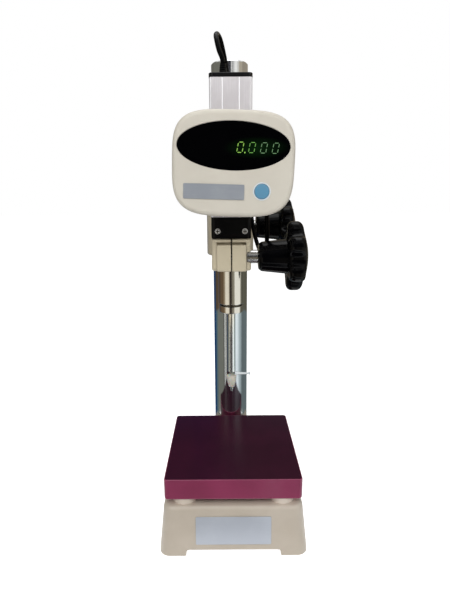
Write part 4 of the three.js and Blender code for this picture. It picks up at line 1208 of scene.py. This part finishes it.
# cards that only reflections see stand round the object in rings: each band runs on from the last one, to
# an angle in degrees (0 towards the user, 90 to the right), in its own colour; seen is the axis that the
# angles are drawn from, y and radius give the circle on which the cards stand
studio = {
    "floor": base["floor"], "ambient": 0.26, "floorTone": 0.9, "floorGlow": 0.84, "floorReach": 8000,
    "cardLevel": 1.3, "lampAim": (0, 0, 200),
}
dark, mid, light = (26, 26, 30), (118, 117, 112), (238, 238, 234)
rings = {
    "cards_low": {
        "seen": 108, "y": 60, "radius": 205, "low": -96, "high": 112,
        "bands": [(-112, (46, 78, 112)), (-96, (84, 104, 108)), (-50, (112, 114, 106)), (-42, (92, 92, 88)),
                  (-38, (214, 216, 212)), (-34, mid), (-30, (214, 216, 212)), (-26, (88, 88, 86)),
                  (-14, (64, 62, 66)), (4, dark), (10, (70, 68, 72)), (14, (196, 200, 204)),
                  (20, (96, 96, 100)), (28, (148, 154, 160)),
                  (48, (228, 238, 242)), (60, (196, 208, 212)), (76, (152, 165, 168)), (180, (98, 109, 111))],
    },
    "cards_middle": {
        "seen": 22, "y": 22, "radius": 330, "low": -20, "high": 230,
        "bands": [(-112, (78, 66, 54)), (-76, (98, 80, 60)), (-62, (126, 110, 86)), (-54, (182, 170, 148)),
                  (-22, (226, 217, 197)), (-14, (144, 135, 117)), (3, (44, 38, 34)), (18, (122, 115, 101)),
                  (29, (150, 144, 128)), (86, (234, 230, 217)), (98, (150, 146, 131)), (180, (88, 86, 75))],
    },
    "cards_face": {
        "seen": 108, "y": 108, "radius": 440, "low": 120, "high": 470,
        "bands": [(-64, (88, 88, 78)), (-44, (170, 166, 160)), (-30, mid), (30, (12, 12, 14)), (44, mid),
                  (64, (200, 200, 196)), (180, (118, 108, 94))],
    },
    "cards_high": {
        "seen": 108, "y": 108, "radius": 460, "low": 300, "high": 900,
        "bands": [(-112, (106, 105, 96)), (-62, (114, 113, 104)), (-42, (134, 132, 124)), (-34, light),
                  (-26, mid),
                  (-20, light), (-12, mid), (5, (52, 52, 58)), (11, (128, 128, 128)), (15, light),
                  (22, (150, 150, 148)), (30, (206, 206, 204)), (48, light), (60, (206, 204, 198)),
                  (84, (176, 167, 150)), (180, (154, 145, 130))],
    },
}


# one blue card behind the column, for its left edge
sideCard = {"line": [(-60, 124), (-60, 400)], "low": -96, "high": 300, "colour": (34, 62, 96)}


# emission in one colour
def lit(name, colour, strength):
    material = bpy.data.materials.new(name)
    material.use_nodes = True
    tree = material.node_tree
    tree.nodes.remove(tree.nodes["Principled BSDF"])
    glow = tree.nodes.new("ShaderNodeEmission")
    glow.inputs["Color"].default_value = tone(*colour)
    glow.inputs["Strength"].default_value = strength
    tree.links.new(glow.outputs["Emission"], tree.nodes["Material Output"].inputs["Surface"])
    return material


# a wall with an upper and a lower edge: one face to each stretch of the line, seen by reflections alone
def makeCards(name, line, low, high, materials, band):
    count = len(line)
    verts = np.vstack([np.column_stack([line, np.full(count, level)]) for level in (low, high)])
    ring = np.arange(count - 1)
    mesh = bpy.data.meshes.new(name)
    faces = np.column_stack([ring, ring + 1, ring + count + 1, ring + count])
    mesh.from_pydata((verts * mm).tolist(), [], faces.tolist())
    for material in materials:
        mesh.materials.append(material)
    mesh.polygons.foreach_set("material_index", np.asarray(band, np.int32))
    piece = bpy.data.objects.new(name, mesh)
    bpy.context.scene.collection.objects.link(piece)
    for sense in ("camera", "diffuse", "transmission", "shadow", "volume_scatter"):
        setattr(piece, "visible_" + sense, False)


# each ring's line: from the seen axis out along every angle as far as the circle, whose own middle lies
# on another axis, by the quadratic's larger root
def makeRings():
    for name, r in rings.items():
        stops = np.array([-180] + [stop for stop, colour in r["bands"]])
        angle = np.union1d(stops, np.arange(-180, 181, 4))
        band = np.searchsorted(stops[1:], (angle[1:] + angle[:-1]) / 2)
        way = np.column_stack([np.sin(np.radians(angle)), -np.cos(np.radians(angle))])
        offset = (r["y"] - r["seen"]) * way[:, 1]
        far = offset + np.sqrt(offset**2 + r["radius"] ** 2 - (r["seen"] - r["y"]) ** 2)
        line = way * far[:, None] + (0, r["seen"])
        materials = [lit(f"{name}_{i}", colour, studio["cardLevel"])
                     for i, (stop, colour) in enumerate(r["bands"])]
        makeCards(name, line, r["low"], r["high"], materials, band)
    s = sideCard
    makeCards("card_blue", np.array(s["line"]), s["low"], s["high"],
              [lit("card_blue", s["colour"], studio["cardLevel"])], [0])


# rays that come straight from the camera, or by a mirror or through glass: 1, all others 0
def directRays(tree):
    path = tree.nodes.new("ShaderNodeLightPath")
    total = path.outputs["Is Camera Ray"]
    for kind in ("Is Glossy Ray", "Is Transmission Ray"):
        larger = tree.nodes.new("ShaderNodeMath")
        larger.operation = "MAXIMUM"
        tree.links.new(total, larger.inputs[0])
        tree.links.new(path.outputs[kind], larger.inputs[1])
        total = larger.outputs[0]
    return total


# soft light all round; rays that see the world directly find plain white
def makeWorld():
    world = bpy.data.worlds.new("studio")
    bpy.context.scene.world = world
    world.use_nodes = True
    tree = world.node_tree
    soft = tree.nodes["Background"]
    soft.inputs["Color"].default_value = (1, 1, 1, 1)
    soft.inputs["Strength"].default_value = studio["ambient"]
    seen = tree.nodes.new("ShaderNodeBackground")
    seen.inputs["Color"].default_value = (1, 1, 1, 1)
    seen.inputs["Strength"].default_value = 1.0
    choose = tree.nodes.new("ShaderNodeMixShader")
    tree.links.new(directRays(tree), choose.inputs["Fac"])
    tree.links.new(soft.outputs[0], choose.inputs[1])
    tree.links.new(seen.outputs[0], choose.inputs[2])
    tree.links.new(choose.outputs[0], tree.nodes["World Output"].inputs["Surface"])


# a wide pale floor: a matt white that takes shadows, and a glow for direct rays that makes it white
def makeFloor():
    s = studio
    reach = s["floorReach"]
    square = np.array([(-1, -1, 0), (1, -1, 0), (1, 1, 0), (-1, 1, 0)]) * reach + (0, 0, s["floor"])
    mesh = bpy.data.meshes.new("floor")
    mesh.from_pydata((square * mm).tolist(), [], [(0, 1, 2, 3)])
    floor = bpy.data.objects.new("floor", mesh)
    bpy.context.scene.collection.objects.link(floor)
    material = bpy.data.materials.new("floor")
    material.use_nodes = True
    tree = material.node_tree
    shader = tree.nodes["Principled BSDF"]
    shader.inputs["Base Color"].default_value = (s["floorTone"],) * 3 + (1,)
    shader.inputs["Roughness"].default_value = 0.9
    shader.inputs["Specular IOR Level"].default_value = 0.0
    glow = tree.nodes.new("ShaderNodeEmission")
    none = tree.nodes.new("ShaderNodeEmission")
    none.inputs["Strength"].default_value = 0.0
    glow.inputs["Strength"].default_value = s["floorGlow"]
    choose = tree.nodes.new("ShaderNodeMixShader")
    add = tree.nodes.new("ShaderNodeAddShader")
    tree.links.new(directRays(tree), choose.inputs["Fac"])
    tree.links.new(none.outputs[0], choose.inputs[1])
    tree.links.new(glow.outputs[0], choose.inputs[2])
    tree.links.new(shader.outputs[0], add.inputs[0])
    tree.links.new(choose.outputs[0], add.inputs[1])
    tree.links.new(add.outputs[0], tree.nodes["Material Output"].inputs["Surface"])
    mesh.materials.append(material)


lamps = {
    "key": {"place": (-480, -1200, 1250), "size": (900, 700), "power": 12},
    "fill": {"place": (620, -1100, 900), "size": (700, 900), "power": 5.6},
    "top": {"place": (0, 200, 1700), "size": (900, 900), "power": 6},
}


# three large soft lamps, each turned towards one point of the stand
def makeLamps():
    for name, lamp in lamps.items():
        data = bpy.data.lights.new(name, "AREA")
        data.shape = "RECTANGLE"
        data.size, data.size_y = (x * mm for x in lamp["size"])
        data.energy = lamp["power"]
        item = bpy.data.objects.new(name, data)
        bpy.context.scene.collection.objects.link(item)
        place = Vector(lamp["place"]) * mm
        towards = (Vector(studio["lampAim"]) * mm - place).to_track_quat("-Z", "Y")
        item.matrix_world = Matrix.Translation(place) @ towards.to_matrix().to_4x4()


makeRings()
makeWorld()
makeFloor()
makeLamps()
print("studio lit")
